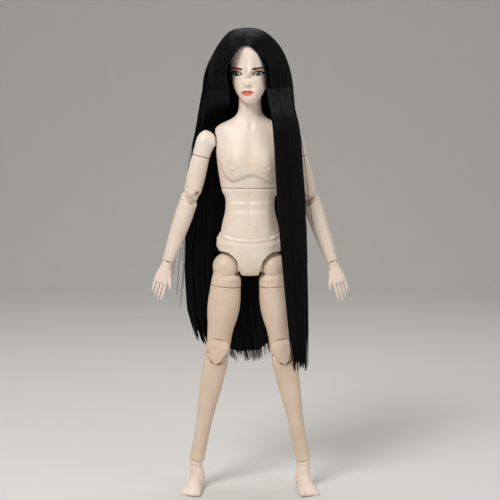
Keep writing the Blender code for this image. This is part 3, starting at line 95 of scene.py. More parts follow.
def add(tree, kind, settings=None, **inputs):
    """A shader node. An input is a value, or the socket that feeds it."""
    node = tree.nodes.new(kind)
    for name, value in (settings or {}).items():
        setattr(node, name, value)
    for name, value in inputs.items():
        key = int(name[1:]) if name[0] == "i" and name[1:].isdigit() else name.replace("_", " ")
        if isinstance(value, bpy.types.NodeSocket):
            tree.links.new(value, node.inputs[key])
        else:
            node.inputs[key].default_value = value
    return node


def finish(name, **values):
    """A material with these values on its Principled shader: itself, its tree, the shader and
    the object's coordinates."""
    made = bpy.data.materials.new(name)
    made.use_nodes = True
    tree = made.node_tree
    shader = tree.nodes["Principled BSDF"]
    for key, value in values.items():
        shader.inputs[key.replace("_", " ")].default_value = value
    return made, tree, shader, add(tree, "ShaderNodeTexCoord").outputs["Object"]


def waves_per(size):
    """The scale of a noise whose patches have this size in metres."""
    return 1.0 / size


def clouded(name, tones, size, detail, spread=None, along=None, **values):
    """A finish that clouds between two tones, and the cloud. along is how much slower the cloud
    changes down the object than across it."""
    made, tree, shader, place = finish(name, **values)
    if along:
        place = add(tree, "ShaderNodeMapping", Vector=place, Scale=(1.0, 1.0, along)).outputs["Vector"]
    noise = add(tree, "ShaderNodeTexNoise", Vector=place, Scale=waves_per(size), Detail=detail)
    share = cloud = noise.outputs["Fac"]
    if spread:
        share = add(tree, "ShaderNodeMapRange", {"clamp": True}, Value=cloud, From_Min=spread[0],
                    From_Max=spread[1]).outputs["Result"]
    blend = add(tree, "ShaderNodeMix", {"data_type": "RGBA"}, i0=share, i6=linear(tones[0]),
                i7=linear(tones[1]))
    tree.links.new(blend.outputs[2], shader.inputs["Base Color"])
    return made, tree, shader, place, cloud


def grained(tree, shader, grain, low, high, strength, distance):
    """A grain that varies the roughness between low and high and stands up by a distance."""
    rough = add(tree, "ShaderNodeMapRange", Value=grain, To_Min=low, To_Max=high)
    tree.links.new(rough.outputs["Result"], shader.inputs["Roughness"])
    relief = add(tree, "ShaderNodeBump", Strength=strength, Distance=distance, Height=grain)
    tree.links.new(relief.outputs["Normal"], shader.inputs["Normal"])


# %% [markdown]
# The body is ABS, injection moulded in a satin tool. Its skin tone is solid through the
# plastic, with a faint warmth where the wall is thick, and the tool leaves a very fine grain.
# The head, hands and feet are PVC vinyl, cast softer: a little pinker, duller and more
# translucent. The grain of 0.35 mm is drawn coarser than the real one, so that it shows.


# %% Plastic and vinyl
GRAIN = 0.35 * MM


def moulded(name, tone, warm, roughness, glow):
    made, tree, shader, place, _ = clouded(
        name, (tone, warm), 14 * MM, 3.0, (0.35, 0.70), IOR=1.50, Subsurface_Weight=glow,
        Subsurface_Radius=(1.0, 0.55, 0.35), Subsurface_Scale=1.2 * MM)
    fine = add(tree, "ShaderNodeTexNoise", Vector=place, Scale=waves_per(GRAIN), Detail=2.0)
    grained(tree, shader, fine.outputs["Fac"], roughness - 0.05, roughness + 0.07, 0.10, 0.04 * MM)
    return made


torso_plastic = moulded("moulded_abs_pale", "EBDDCE", "E6D2BF", 0.42, 0.10)
leg_plastic = moulded("moulded_abs_warm", "E0CAB5", "D8BFA8", 0.44, 0.10)
vinyl = moulded("cast_vinyl_pale", "F2E1D3", "EDD7C7", 0.48, 0.14)
print("plastics:", torso_plastic.name, leg_plastic.name, vinyl.name)

# %% [markdown]
# The pegs, links and pins of the joints are nylon, moulded in nearly the colour of the body and
# a little waxy. They only show in the slots of the elbows and knees and at the shoulders.

# %% Nylon
nylon = clouded("moulded_nylon_flesh", ("DDCDBD", "D3C0AE"), 3 * MM, 2.0, Roughness=0.38, IOR=1.53)[0]
print("finish:", nylon.name)

# %% [markdown]
# Doll hair is a straight drawn nylon fibre, black and very smooth. What the eye reads is the
# long highlight along each fibre. It comes from streaks that are 0.5 mm wide and many times
# longer, because real fibres of 0.08 mm would not show. The streaks are a painted sheen, a
# lighter tone in the base colour, and the same streaks also vary the roughness and stand up as
# a fine bump. On the crown, where the hair runs every way, the pattern is even and 1.6 mm wide.


# %% Hair fibre
# painted_sheen is the lighter tone of the streaks: a painted highlight in the base colour.
def drawn_fibre(name, deep, painted_sheen, along, width):
    made, tree, shader, _, streak = clouded(name, (deep, painted_sheen), width, 3.0, (0.38, 0.72), along,
                                            IOR=1.54, Specular_IOR_Level=0.11)
    grained(tree, shader, streak, 0.26, 0.52, 0.4, 0.12 * MM)
    return made


# The second tone of each hair finish is a painted sheen: lighter streaks that stand for highlights.
fibre = drawn_fibre("drawn_nylon_black", "040405", "0B0B0E", 0.03, 0.5 * MM)
crown_fibre = drawn_fibre("drawn_nylon_black_crown", "040405", "0C0C0F", 1.0, 1.6 * MM)
print("finishes:", fibre.name, crown_fibre.name)

# %% [markdown]
# A working part has a facet every 15 to 22 degrees. The real moulding is smooth, but crisp
# where a joint or a seam is cut. So each part is copied and welded, its cut edges are noted,
# and it is remeshed in small even faces and smoothed, the more the further from a cut edge.

# %% Fine copies of the working parts
WELD = 0.001 * MM
CUT_ANGLE = math.radians(36.0)
EDGE_STEP = 0.5 * MM
FIRM = 0.35 * MM
LOOSE = 1.5 * MM
IRON_ROUNDS = 120
LAST_ROUNDS = 2
FAR_FROM_CUTS = 1.0


def welded(*nodes):
    """The loose triangles of nodes, each as a closed shell, in one bmesh."""
    bm = bmesh.new()
    for node in nodes:
        bm.from_mesh(frame["nodes"][node].data)
    bmesh.ops.remove_doubles(bm, verts=bm.verts[:], dist=WELD)
    return bm


def cut_edges(bm):
    """Points along the edges that joints and seams cut, in a tree that finds the nearest."""
    points = []
    for edge in bm.edges:
        if len(edge.link_faces) == 2 and edge.calc_face_angle() > CUT_ANGLE:
            a, b = (corner.co for corner in edge.verts)
            steps = max(1, int((b - a).length / EDGE_STEP))
            points += [a.lerp(b, i / steps) for i in range(steps + 1)]
    tree = kdtree.KDTree(len(points))
    for i, point in enumerate(points):
        tree.insert(point, i)
    tree.balance()
    return tree


def put(name, data):
    """An object of this data in the scene."""
    made = bpy.data.objects.new(name, data)
    scene.collection.objects.link(made)
    return made


def evaluated(holder):
    """The mesh of an object as its modifiers leave it. The object itself goes."""
    bpy.context.view_layer.update()
    seen = holder.evaluated_get(bpy.context.evaluated_depsgraph_get())
    mesh = bpy.data.meshes.new_from_object(seen)
    bpy.data.objects.remove(holder)
    return mesh


def remeshed(bm, voxel):
    """The same shape in even faces of the voxel's size."""
    coarse = bpy.data.meshes.new("coarse")
    bm.to_mesh(coarse)
    bm.free()
    holder = put("coarse", coarse)
    step = holder.modifiers.new("even", "REMESH")
    step.mode = "VOXEL"
    step.voxel_size = voxel
    even = evaluated(holder)
    bpy.data.meshes.remove(coarse)
    fine = bmesh.new()
    fine.from_mesh(even)
    bpy.data.meshes.remove(even)
    return fine


def smooth(bm, points, rounds):
    for _ in range(rounds):
        bmesh.ops.smooth_vert(bm, verts=points, factor=0.5, use_axis_x=True, use_axis_y=True,
                              use_axis_z=True)


def refined(node, voxel, rounds, sculpt=None, filled=(), ironed=None):
    """A fine bmesh of one working part, sculpted before its last smoothing. The parts that are
    named as filled, such as a pin in its bore, are melted in by the remesh, and the points that
    pass the ironed test are smoothed much further."""
    bm = welded(node, *filled)
    tree = cut_edges(bm)
    bm = remeshed(bm, voxel)
    reach = [(tree.find(point.co)[2] or FAR_FROM_CUTS, point) for point in bm.verts]
    smooth(bm, [point for far, point in reach if far > LOOSE], rounds)
    smooth(bm, [point for far, point in reach if far > FIRM], rounds // 5)
    if ironed:
        smooth(bm, [point for point in bm.verts if ironed(point.co)], IRON_ROUNDS)
    if sculpt:
        for point in bm.verts:
            sculpt(point)
    smooth(bm, bm.verts[:], LAST_ROUNDS)
    return bm


def coated(name, mesh, surface):
    """A smooth-shaded object at the origin, of one material."""
    mesh.name = name
    mesh.materials.clear()
    mesh.materials.append(surface)
    mesh.shade_smooth()
    return put(name, mesh)


def shown(name, bm, surface):
    """A finished bmesh as an object."""
    mesh = bpy.data.meshes.new(name)
    bm.to_mesh(mesh)
    bm.free()
    return coated(name, mesh, surface)


def dress(node, surface, voxel, rounds, sculpt=None, filled=(), ironed=None):
    """The fine skin that stands for a working part and moves with its body."""
    made = shown(node + "_skin", refined(node, voxel, rounds, sculpt, filled, ironed), surface)
    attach(made, frame["nodes"][node]["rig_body"])
    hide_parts(node)
    return made


# %% [markdown]
# Anatomy is sculpted by pushing points in or out. A bump falls off smoothly from its middle,
# a groove from a line, and a level from a height. Their sizes are given in tables.


# %% Sculpting tools
def clamp(value, high=1.0):
    return min(high, max(0.0, value))


def step_up(value, low, high):
    """0 below low, 1 above high, and an S curve between."""
    t = clamp((value - low) / (high - low))
    return t * t * (3 - 2 * t)


def bump(x, z, middle, spread):
    """A round bump of height 1."""
    return math.exp(-((x - middle[0]) / spread[0]) ** 2 - ((z - middle[1]) / spread[1]) ** 2)


def level(z, middle, spread):
    """A band of height 1 at one level, soft above and below."""
    return math.exp(-((z - middle) / spread) ** 2)


def groove(x, z, start, end, width):
    """A groove of depth 1 along a straight line, soft at its sides and ends."""
    dx, dz = end[0] - start[0], end[1] - start[1]
    t = clamp(((x - start[0]) * dx + (z - start[1]) * dz) / (dx * dx + dz * dz))
    away = math.hypot(x - start[0] - t * dx, z - start[1] - t * dz)
    return math.exp(-(away / width) ** 2)


def relief_of(across, z, bumps=(), grooves=()):
    """The rise of a table of bumps (rise, across, height, spread across, spread in height) and
    of one of grooves (rise, across and height of the start, the same of the end, width), in mm."""
    lift = sum(row[0] * MM * bump(across, z, (row[1] * MM, row[2] * MM), (row[3] * MM, row[4] * MM))
               for row in bumps)
    return lift + sum(row[0] * MM * groove(across, z, (row[1] * MM, row[2] * MM),
                                           (row[3] * MM, row[4] * MM), row[5] * MM) for row in grooves)


# %% [markdown]
# The chest is flat and lean. Each muscle has a crisp lower edge that runs from the armpit
# round to the breastbone, a small raised point, and above it the collarbones and the cords
# of the neck.

# %% Chest
# Distance across and height of the chest muscle's lower edge, from the breastbone to the armpit.
PEC_EDGE = ((0.0, 207.0), (3.0, 206.5), (6.0, 205.2), (9.0, 203.7), (11.5, 203.0), (14.0, 203.8),
            (16.2, 206.2), (18.0, 209.6), (19.6, 213.4), (21.0, 217.6), (22.5, 222.0), (24.0, 226.0))
PEC_LIFT = 1.25 * MM
CHEST_X = 0.6 * MM
PEC_FADE = (212.0 * MM, 232.0 * MM)
PEC_FOLD = 0.35 * MM
# The nipple and the hollow of the throat, then breastbone, collarbone and cord of the neck.
CHEST_BUMPS = ((1.05, 12.0, 211.2, 0.80, 0.75), (-0.55, 0.0, 238.4, 1.8, 1.8))
CHEST_GROOVES = ((-0.22, 0.0, 208.0, 0.0, 232.0, 2.4), (0.28, 3.2, 236.6, 18.0, 238.6, 1.5),
                 (0.22, 2.2, 237.5, 5.6, 251.0, 1.4))


def between(rows, at):
    """The values of a table, given in millimetres, at a place between two of its rows."""
    scaled = sorted([value * MM for value in row] for row in rows)
    at = min(max(at, scaled[0][0]), scaled[-1][0])
    for low, high in zip(scaled, scaled[1:]):
        if at <= high[0]:
            t = (at - low[0]) / (high[0] - low[0])
            return [a + (b - a) * t for a, b in zip(low[1:], high[1:])]


def sculpt_chest(point):
    x, y, z = point.co
    if y > 0:
        return
    across = abs(x - CHEST_X)
    edge = between(PEC_EDGE, across)[0]
    fade = 1.0 - step_up(z, *PEC_FADE)
    lift = PEC_LIFT * step_up(z - edge, -0.35 * MM, 1.5 * MM) * fade
    lift -= PEC_FOLD * level(z, edge - 0.7 * MM, 0.9 * MM)
    lift += relief_of(across, z, CHEST_BUMPS, CHEST_GROOVES)
    point.co.y -= lift * step_up(-y, 0.2 * MM, 4.5 * MM)


dress("chest_front", torso_plastic, 0.5 * MM, 50, sculpt_chest)
print("chest sculpted")

# %% [markdown]
# The back has two shoulder blades and the furrow of the spine.

# %% Back of the chest
BLADES = ((0.8, 11.5, 226.0, 5.0, 8.0),)
SPINE = ((-0.9, 0.0, 200.0, 0.0, 238.0, 2.2),)


def sculpt_back(point):
    x, y, z = point.co
    point.co.y += relief_of(abs(x), z, BLADES, SPINE) * step_up(y, 1.5 * MM, 6.0 * MM)


dress("chest_back", torso_plastic, 0.5 * MM, 50, sculpt_back)
print("back sculpted")

# %% [markdown]
# The lower torso is one moulding from the waist seam to the crotch, with flat stomach muscles,
# the creases of the groin, and briefs moulded on: a raised waistband that dips in front, and a
# slanted seam each side under it.

# %% Abdomen and moulded briefs
BAND_SIDE_Z = 169.6 * MM
BAND_MIDDLE_Z = 165.2 * MM
BAND_REACH = 21.5 * MM
BAND_TALL = 1.9 * MM
RIDGE_BELOW = 3.0 * MM
WAIST_SLIM = 1.2 * MM
RIDGE_FLAT = 0.42 * MM
BAND_LIFT = 0.40 * MM
CLOTH_LIFT = 0.16 * MM
LINE_DEEP = 0.22 * MM
# Half width and half depth of the oval that the waist is, where its front and back begin, the
# sides of hip and waist, and the foot, top and seam of the waist.
OVAL = (21.6 * MM, 12.0 * MM)
FACING = (0.5 * MM, 4.0 * MM)
HIP_SIDE = (15 * MM, 20 * MM)
WAIST_SIDE = (11 * MM, 18 * MM)
WAIST_FOOT = (169 * MM, 175 * MM)
WAIST_TOP = (192 * MM, 197 * MM)
SEAM_RISE = (197.6 * MM, 198.5 * MM)
# The side seam of the briefs and its stitched edge, their hem in two runs, the middle line of
# the belly and the crease of the groin. Behind, the cleft and the furrow of the spine.
FRONT_GROOVES = ((-0.30, 7.2, 161.4, 9.2, 154.6, 0.35), (0.16, 7.9, 161.4, 9.9, 154.6, 0.4),
                 (0.20, 4.6, 144.0, 8.6, 154.0, 0.5), (0.20, 8.6, 154.0, 19.5, 160.2, 0.5),
                 (-0.35, 0.0, 172.0, 0.0, 195.0, 0.9), (-0.40, 17.0, 172.5, 11.0, 165.5, 1.6))
NAVEL = ((-0.60, 0.0, 175.4, 0.8, 1.1),)
GLUTES = ((1.0, 9.0, 152.5, 6.5, 7.0),)
BACK_GROOVES = ((-0.9, 0.0, 143.0, 0.0, 158.0, 1.3), (-0.7, 0.0, 166.0, 0.0, 198.0, 2.0))
# Rise of the hip's side at two heights, in millimetres: rise, height and spread.
HIP_LEVELS = ((-1.5, 169.8, 3.2), (0.8, 161.6, 2.8))
# Top and foot of each hollow of the belly, its reach to the side and its depth, in millimetres.
ABS_LEDGES = ((197.8, 190.5, 13.0, 0.95), (189.4, 184.6, 11.5, 0.50))
SEAM_CLOSE = 0.14 * MM


def band_z(across):
    """Middle height of the waistband, which sags towards the front."""
    share = min(1.0, across / BAND_REACH)
    return BAND_MIDDLE_Z + (BAND_SIDE_Z - BAND_MIDDLE_Z) * share ** 2.2


def sculpt_lower(point):
    x, y, z = point.co
    across = abs(x)
    out = Vector((x / OVAL[0] ** 2, y / OVAL[1] ** 2, 0)).normalized()
    front = step_up(-y, *FACING)
    back = step_up(y, *FACING)
    middle = band_z(across) if y < 0 else BAND_SIDE_Z + 1.0 * MM * back
    off = abs(z - middle)
    lift = BAND_LIFT * (1.0 - step_up(off, BAND_TALL / 2 - 0.3 * MM, BAND_TALL / 2 + 0.2 * MM))
    lift += CLOTH_LIFT * (1.0 - step_up(z, middle - 0.3 * MM, middle + 0.3 * MM))
    lift -= RIDGE_FLAT * (front if y < 0 else back) * level(z, middle - RIDGE_BELOW, 1.3 * MM)
    for side in (-1, 1):
        lift -= LINE_DEEP * level(z, middle + side * (BAND_TALL / 2 + 0.25 * MM), 0.35 * MM)
    for row in ABS_LEDGES:
        top, foot, reach, depth = (value * MM for value in row)
        hollow = clamp((top - z) / (top - foot)) * (1.0 - step_up(foot - z, -0.1 * MM, 1.3 * MM))
        lift -= depth * front * hollow * (1.0 - step_up(across, 0.65 * reach, 1.15 * reach))
    for rise, height, spread in HIP_LEVELS:
        lift += rise * MM * step_up(across, *HIP_SIDE) * level(z, height * MM, spread * MM)
    slim = step_up(z, *WAIST_FOOT) * (1.0 - step_up(z, *WAIST_TOP))
    lift -= WAIST_SLIM * step_up(across, *WAIST_SIDE) * slim
    lift += front * relief_of(across, z, NAVEL, FRONT_GROOVES)
    lift += back * relief_of(across, z, GLUTES, BACK_GROOVES)
    point.co += out * lift
    point.co.z += SEAM_CLOSE * step_up(z, *SEAM_RISE)


dress("lower_torso", torso_plastic, 0.45 * MM, 45, sculpt_lower)
print("lower torso sculpted")

# %% [markdown]
# Arms and legs are plain tapering mouldings, whose shape the working parts already carry. Where
# two parts meet at a joint, the real mouldings are fuller than their mechanism: the shoulder
# fills its socket, a fold runs under the ball of the hip, and the leg widens towards the knee.
# The ends of the pins are melted into the limbs, and a round core sits between the two pins.

# %% Fuller joints
SIDES = (("left_", 1), ("right_", -1))
# How far the shoulder is filled, between which angles in degrees, and from which radius on.
SHOULDER_FILL = 1.35 * MM
FILL_START = (-40, -8)
FILL_END = (80, 130)
FILL_RADIUS = (3.5 * MM, 5.0 * MM)
# The lip and the fold under the ball of the hip.
HIP_GROOVES = ((0.55, 6.4, 140.8, 13.0, 139.8, 1.3), (-0.75, 6.4, 143.0, 16.5, 142.0, 0.9))
KNEE_WIDER = 0.07
SHIN_WIDER = 0.04
KNEE_BAND = (6 * MM, 18 * MM)
SHIN_BAND = 7 * MM
THIGH_WIDEST = 0.22
KNEE_DOME = 9.0 * MM
DOME_START = -1.3 * MM
DOME_LIMIT = 0.9
# The swelling of the thigh, and where it ends above and below and fades to the outside.
THIGH_FULL = 1.9 * MM
THIGH_TOP = (139 * MM, 145 * MM)
THIGH_FOOT = (96 * MM, 116 * MM)
THIGH_INSIDE = (5.0 * MM, 15.0 * MM)
KNEECAP_LONGER = 0.09
THIGH_SEAM = 0.14 * MM
THIGH_SEAM_Z = (133.2 * MM, 134.0 * MM)
DRUM_SHARE = 1.18
DRUM_SIDES = 48


def box_middle(node):
    low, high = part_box(node)
    return (low + high) / 2


def shoulder_sculptor(tag, side):
    """Fill the upper inner quarter of the shoulder, out to the circle that clears the chest."""
    middle = box_middle(tag + "shoulder_pin")

    def sculpt(point):
        away = point.co - middle
        flat = Vector((away.x, 0, away.z))
        turn = math.degrees(math.atan2(flat.z, -side * flat.x))
        weight = step_up(turn, *FILL_START) * (1 - step_up(turn, *FILL_END))
        weight *= step_up(flat.length, *FILL_RADIUS)
        point.co += flat.normalized() * SHOULDER_FILL * weight
    return sculpt


def fuller_thigh(point):
    """The inside of the thigh swells from below the groin to above the knee."""
    x, y, z = point.co
    side = 1 if x > 0 else -1
    swell = (1.0 - step_up(z, *THIGH_TOP)) * step_up(z, *THIGH_FOOT)
    point.co.x -= side * THIGH_FULL * swell * (1.0 - step_up(side * x, *THIGH_INSIDE))


def sculpt_hip(point):
    fuller_thigh(point)
    x, y, z = point.co
    point.co.y -= relief_of(abs(x), z, (), HIP_GROOVES) * step_up(-y, *FACING)


def knee_sculptor(tag, node):
    """Widen a part towards the knee. The end of the thigh is a dome, so it is squared off."""
    upper = box_middle(tag + "knee_upper_pin")
    lower = box_middle(tag + "knee_lower_pin")
    down = (lower - upper).normalized()
    across = Vector((-down.z, 0, down.x)).normalized()
    half = (lower - upper).length / 2

    def sculpt(point):
        away = point.co - upper
        along, aside = away.dot(down), away.dot(across)
        grow = KNEE_WIDER * (1 - step_up(abs(along - half), *KNEE_BAND))
        if node == "thigh":
            t = clamp((along - DOME_START) / KNEE_DOME, DOME_LIMIT)
            grow += min(THIGH_WIDEST, 1 / math.sqrt(1 - 0.8 * t * t) - 1)
            point.co.z += THIGH_SEAM * step_up(point.co.z, *THIGH_SEAM_Z)
        if node == "shin":
            grow += SHIN_WIDER * (1 - step_up(along - 2 * half, 0.0, SHIN_BAND))
        if node == "kneecap":
            point.co += down * max(0.0, along) * KNEECAP_LONGER
        point.co += across * aside * grow
        if node == "thigh":
            fuller_thigh(point)
    return sculpt


def drum(tag, joint, radius, surface):
    """The round core between the two pins of a double hinge, which closes the view through it."""
    upper, lower = [box_middle(f"{tag}{joint}_{end}_pin") for end in ("upper", "lower")]
    low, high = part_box(f"{tag}{joint}_upper_pin")
    across = Vector((upper.z - lower.z, 0, lower.x - upper.x))
    turned = across.to_track_quat("Z", "Y").to_matrix().to_4x4()
    bm = bmesh.new()
    bmesh.ops.create_cone(bm, cap_ends=True, segments=DRUM_SIDES, radius1=radius, radius2=radius,
                          depth=(high.x - low.x) * DRUM_SHARE,
                          matrix=Matrix.Translation((upper + lower) / 2) @ turned)
    rims = [edge for edge in bm.edges if any(len(face.verts) > 4 for face in edge.link_faces)]
    bmesh.ops.bevel(bm, geom=rims, offset=radius * 0.3, segments=4, affect="EDGES")
    made = shown(f"{tag}{joint}_core", bm, surface)
    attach(made, frame["nodes"][f"{tag}{joint}_link"]["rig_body"])


# %% Arms and legs
for tag, side in SIDES:
    drum(tag, "elbow", 2.4 * MM, torso_plastic)
    drum(tag, "knee", 3.6 * MM, leg_plastic)
    dress(tag + "shoulder_cap", torso_plastic, 0.35 * MM, 22, shoulder_sculptor(tag, side))
    dress(tag + "upper_arm", torso_plastic, 0.40 * MM, 26, None, [tag + "elbow_upper_pin"])
    dress(tag + "forearm", torso_plastic, 0.40 * MM, 26, None, [tag + "elbow_lower_pin"])
    dress(tag + "hip_cap", leg_plastic, 0.45 * MM, 30, sculpt_hip)
    for node, voxel, rounds, pins in (("thigh", 0.45, 34, ["knee_upper_pin"]), ("kneecap", 0.30, 8, []),
                                      ("shin", 0.45, 34, ["knee_lower_pin"])):
        dress(tag + node, leg_plastic, voxel * MM, rounds, knee_sculptor(tag, node),
              [tag + pin for pin in pins])
print("limbs dressed")

# %% [markdown]
# Hands and feet are the finest castings, with fingers and toes only 2 mm thick. They take
# smaller faces and less smoothing, so that they keep their size.

# %% Hands and feet
for tag, side in SIDES:
    dress(tag + "hand", vinyl, 0.22 * MM, 10)
    dress(tag + "foot", vinyl, 0.30 * MM, 12)
print("hands and feet dressed")

# %% Joint pieces in nylon
for name, part in frame["nodes"].items():
    if slots[name] == "white_nylon":
        collar = name.endswith("ankle_peg")
        part.data.materials.clear()
        part.data.materials.append(leg_plastic if collar else nylon)
        weld = part.modifiers.new("weld", "WELD")
        weld.merge_threshold = WELD
        round_off = part.modifiers.new("round_off", "BEVEL")
        round_off.width = 0.12 * MM
        round_off.segments = 2
        round_off.angle_limit = CUT_ANGLE
print("nylon pieces:", list(slots.values()).count("white_nylon"))

# %% [markdown]
# The face is cast in the vinyl and then painted. The cast form comes first: sockets for the
# eyes, a narrow nose, full lips and a small chin.

# %% Head
FACE_X = -1.7 * MM
MOUTH_Z = 259.4 * MM
EYE_Z = 271.3 * MM
BROW_Z = 274.4 * MM
CHIN_DROP = 1.1 * MM
FOREHEAD_Z = 273.0 * MM
# Tip of the nose, its wings and nostrils, the lip's furrow, upper and lower lip, the hollow
# above the chin and the chin, the eye's socket and its ball.
FACE_BUMPS = ((1.7, 0.0, 264.2, 1.6, 1.5), (0.50, 1.8, 263.6, 0.8, 0.8), (-0.6, 1.0, 262.5, 0.6, 0.4),
              (-0.30, 0.0, 261.6, 0.6, 0.6), (0.45, 0.0, 260.1, 3.2, 0.6), (0.70, 0.0, 258.3, 2.6, 0.8),
              (-0.45, 0.0, 256.3, 3.0, 0.8), (0.35, 0.0, 254.0, 3.2, 1.6),
              (-0.55, 6.9, 272.3, 4.2, 2.2), (0.60, 6.9, 271.3, 2.9, 1.5))
# Bridge of the nose, the line between the lips, the crease of the eyelid and the brow.
FACE_GROOVES = ((0.7, 0.0, 264.2, 0.0, 274.0, 1.4), (-0.40, 0.0, 259.4, 3.6, 259.4, 0.32),
                (-0.25, 4.2, 273.1, 10.0, 273.5, 0.35), (0.30, 3.4, 274.4, 10.6, 276.0, 1.0))


def sculpt_head(point):
    x, y, z = point.co
    if y > 0:
        return
    across = abs(x - FACE_X)
    front = step_up(-y, 4.0 * MM, 9.0 * MM)
    lift = relief_of(across, z, FACE_BUMPS, FACE_GROOVES)
    point.co.y -= lift * front
    point.co.z -= CHIN_DROP * front * (1.0 - step_up(z, 253.5 * MM, 259.0 * MM))


def on_forehead(spot):
    return spot.y < 0 and spot.z > FOREHEAD_Z


head = dress("head", vinyl, 0.30 * MM, 24, sculpt_head, (), on_forehead)
head_tree = BVHTree.FromObject(head, bpy.context.evaluated_depsgraph_get())
print("head sculpted")

# %% [markdown]
# The face paint lies on the cast form. Each painted shape is a thin film: a grid whose columns
# run from a lower to an upper edge, both given as heights across the face, projected straight
# back onto the head and given a thickness far below a tenth of a millimetre.

# %% Painted films
FILM = 0.05 * MM
# A film that would run past the temple is cut short where the face ends.
TEMPLE_Y = -1.5 * MM
RIM_STEP = 0.1 * MM


def enamel(name, code, roughness, coat=0.0):
    """Face paint: an opaque acrylic with soft brush clouding."""
    made, tree, shader, place = finish(name, Roughness=roughness, Coat_Weight=coat)
    cloud = add(tree, "ShaderNodeTexNoise", Vector=place, Scale=waves_per(0.8 * MM), Detail=3.0)
    shade = add(tree, "ShaderNodeMapRange", Value=cloud.outputs["Fac"], To_Min=0.88, To_Max=1.10)
    tone = add(tree, "ShaderNodeVectorMath", {"operation": "SCALE"},
               Vector=linear(code)[:3], Scale=shade.outputs["Result"])
    tree.links.new(tone.outputs["Vector"], shader.inputs["Base Color"])
    return made


def on_face(x, z):
    """The point of the face at a place across and a height, or None past the temple."""
    hit = head_tree.ray_cast(Vector((x, -40 * MM, z)), Vector((0, 1, 0)))[0]
    return hit if hit and hit.y < TEMPLE_Y else None


def painted(name, side, start, end, upper, lower, surface, lift, columns=24, rows=4):
    """A film between two edges of the face. start and end are distances from its middle."""
    while not all(on_face(FACE_X + side * end, edge(end)) for edge in (lower, upper)):
        end -= RIM_STEP
    bm = bmesh.new()
    bmesh.ops.create_grid(bm, x_segments=columns, y_segments=rows, size=0.5)
    for point in bm.verts:
        across = start + (end - start) * (point.co.x + 0.5)
        low, high = lower(across), upper(across)
        z = low + max(0.0, high - low) * (point.co.y + 0.5)
        x = FACE_X + side * across
        hit = on_face(x, z)
        point.co = (hit or Vector((x, TEMPLE_Y, z))) + Vector((0, -lift, 0))
    bmesh.ops.remove_doubles(bm, verts=bm.verts[:], dist=0.005 * MM)
    bmesh.ops.recalc_face_normals(bm, faces=bm.faces[:])
    if sum(face.normal.y for face in bm.faces) > 0:
        bmesh.ops.reverse_faces(bm, faces=bm.faces[:])
    bmesh.ops.solidify(bm, geom=bm.faces[:], thickness=FILM)
    made = shown(name, bm, surface)
    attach(made, "head")
    return made


# %% Paints
paints = [enamel(*row) for row in (
    ("acrylic_eye_white", "F4F1EE", 0.30, 0.4), ("acrylic_iris_grey_blue", "3F4A5A", 0.25, 0.6),
    ("acrylic_line_black", "0D0B0C", 0.35), ("acrylic_brow_brown", "6E3A1E", 0.55),
    ("acrylic_eyeshadow_olive", "BCA57C", 0.60), ("gloss_lip_orange", "DE6D4A", 0.28, 0.4),
    ("gloss_lip_orange_red", "C8502F", 0.32, 0.3), ("gloss_lip_deep_red", "8E2616", 0.35, 0.3))]
eye_white, iris_paint, black_paint, brow_paint, shadow_paint, lip_paint, lip_upper_paint, lip_dark = paints
print("paints:", [paint.name for paint in paints])

# %% Eyes
EYE_IN, EYE_OUT = 3.5 * MM, 10.2 * MM


def share_of_eye(across):
    return (across - EYE_IN) / (EYE_OUT - EYE_IN)


def eye_line(across):
    """The straight line from the inner corner of the eye up to the outer corner."""
    return EYE_Z - 0.60 * MM + 0.95 * MM * share_of_eye(across)


def upper_lid(across):
    t = clamp(share_of_eye(across))
    return eye_line(across) + 1.25 * MM * math.sin(math.pi * t ** 0.85)


def lower_lid(across):
    t = clamp(share_of_eye(across))
    return eye_line(across) - 1.05 * MM * math.sin(math.pi * t ** 1.15)


IRIS = (6.7 * MM, EYE_Z + 0.15 * MM)
IRIS_RADIUS = 1.5 * MM
PUPIL_RADIUS = 0.75 * MM
GLINT = (6.1 * MM, EYE_Z + 0.35 * MM)
GLINT_RADIUS = 0.30 * MM


def clipped_disc(name, side, middle, radius, surface, lift):
    """A disc of the eye, as far as the lids leave it open."""
    def rise(across):
        return math.sqrt(max(0.0, radius ** 2 - (across - middle[0]) ** 2))

    painted(name, side, middle[0] - radius, middle[0] + radius,
            lambda a: min(middle[1] + rise(a), upper_lid(a)),
            lambda a: max(middle[1] - rise(a), lower_lid(a)), surface, lift, 16, 4)


for tag, side in SIDES:
    painted(tag + "eye_shadow", side, EYE_IN - 0.5 * MM, EYE_OUT + 0.6 * MM,
            lambda a: upper_lid(a) + 1.35 * MM, lambda a: upper_lid(a) - 0.1 * MM,
            shadow_paint, 0.02 * MM)
    painted(tag + "eye_white", side, EYE_IN, EYE_OUT, upper_lid, lower_lid, eye_white, 0.05 * MM)
    clipped_disc(tag + "iris", side, IRIS, IRIS_RADIUS, iris_paint, 0.08 * MM)
    clipped_disc(tag + "pupil", side, IRIS, PUPIL_RADIUS, black_paint, 0.11 * MM)
    clipped_disc(tag + "glint", side, GLINT, GLINT_RADIUS, eye_white, 0.14 * MM)
    painted(tag + "upper_lash", side, EYE_IN - 0.3 * MM, EYE_OUT + 0.8 * MM,
            lambda a: upper_lid(a) + 0.34 * MM + 0.35 * MM * max(0.0, share_of_eye(a)),
            lambda a: upper_lid(a) - 0.36 * MM, black_paint, 0.13 * MM)
    painted(tag + "lower_lash", side, EYE_IN + 0.2 * MM, EYE_OUT + 0.3 * MM,
            lambda a: lower_lid(a) + 0.26 * MM,
            lambda a: lower_lid(a) - 0.34 * MM, black_paint, 0.12 * MM)
print("eyes painted")

# %% Brows
BROW_IN, BROW_OUT = 3.2 * MM, 11.9 * MM


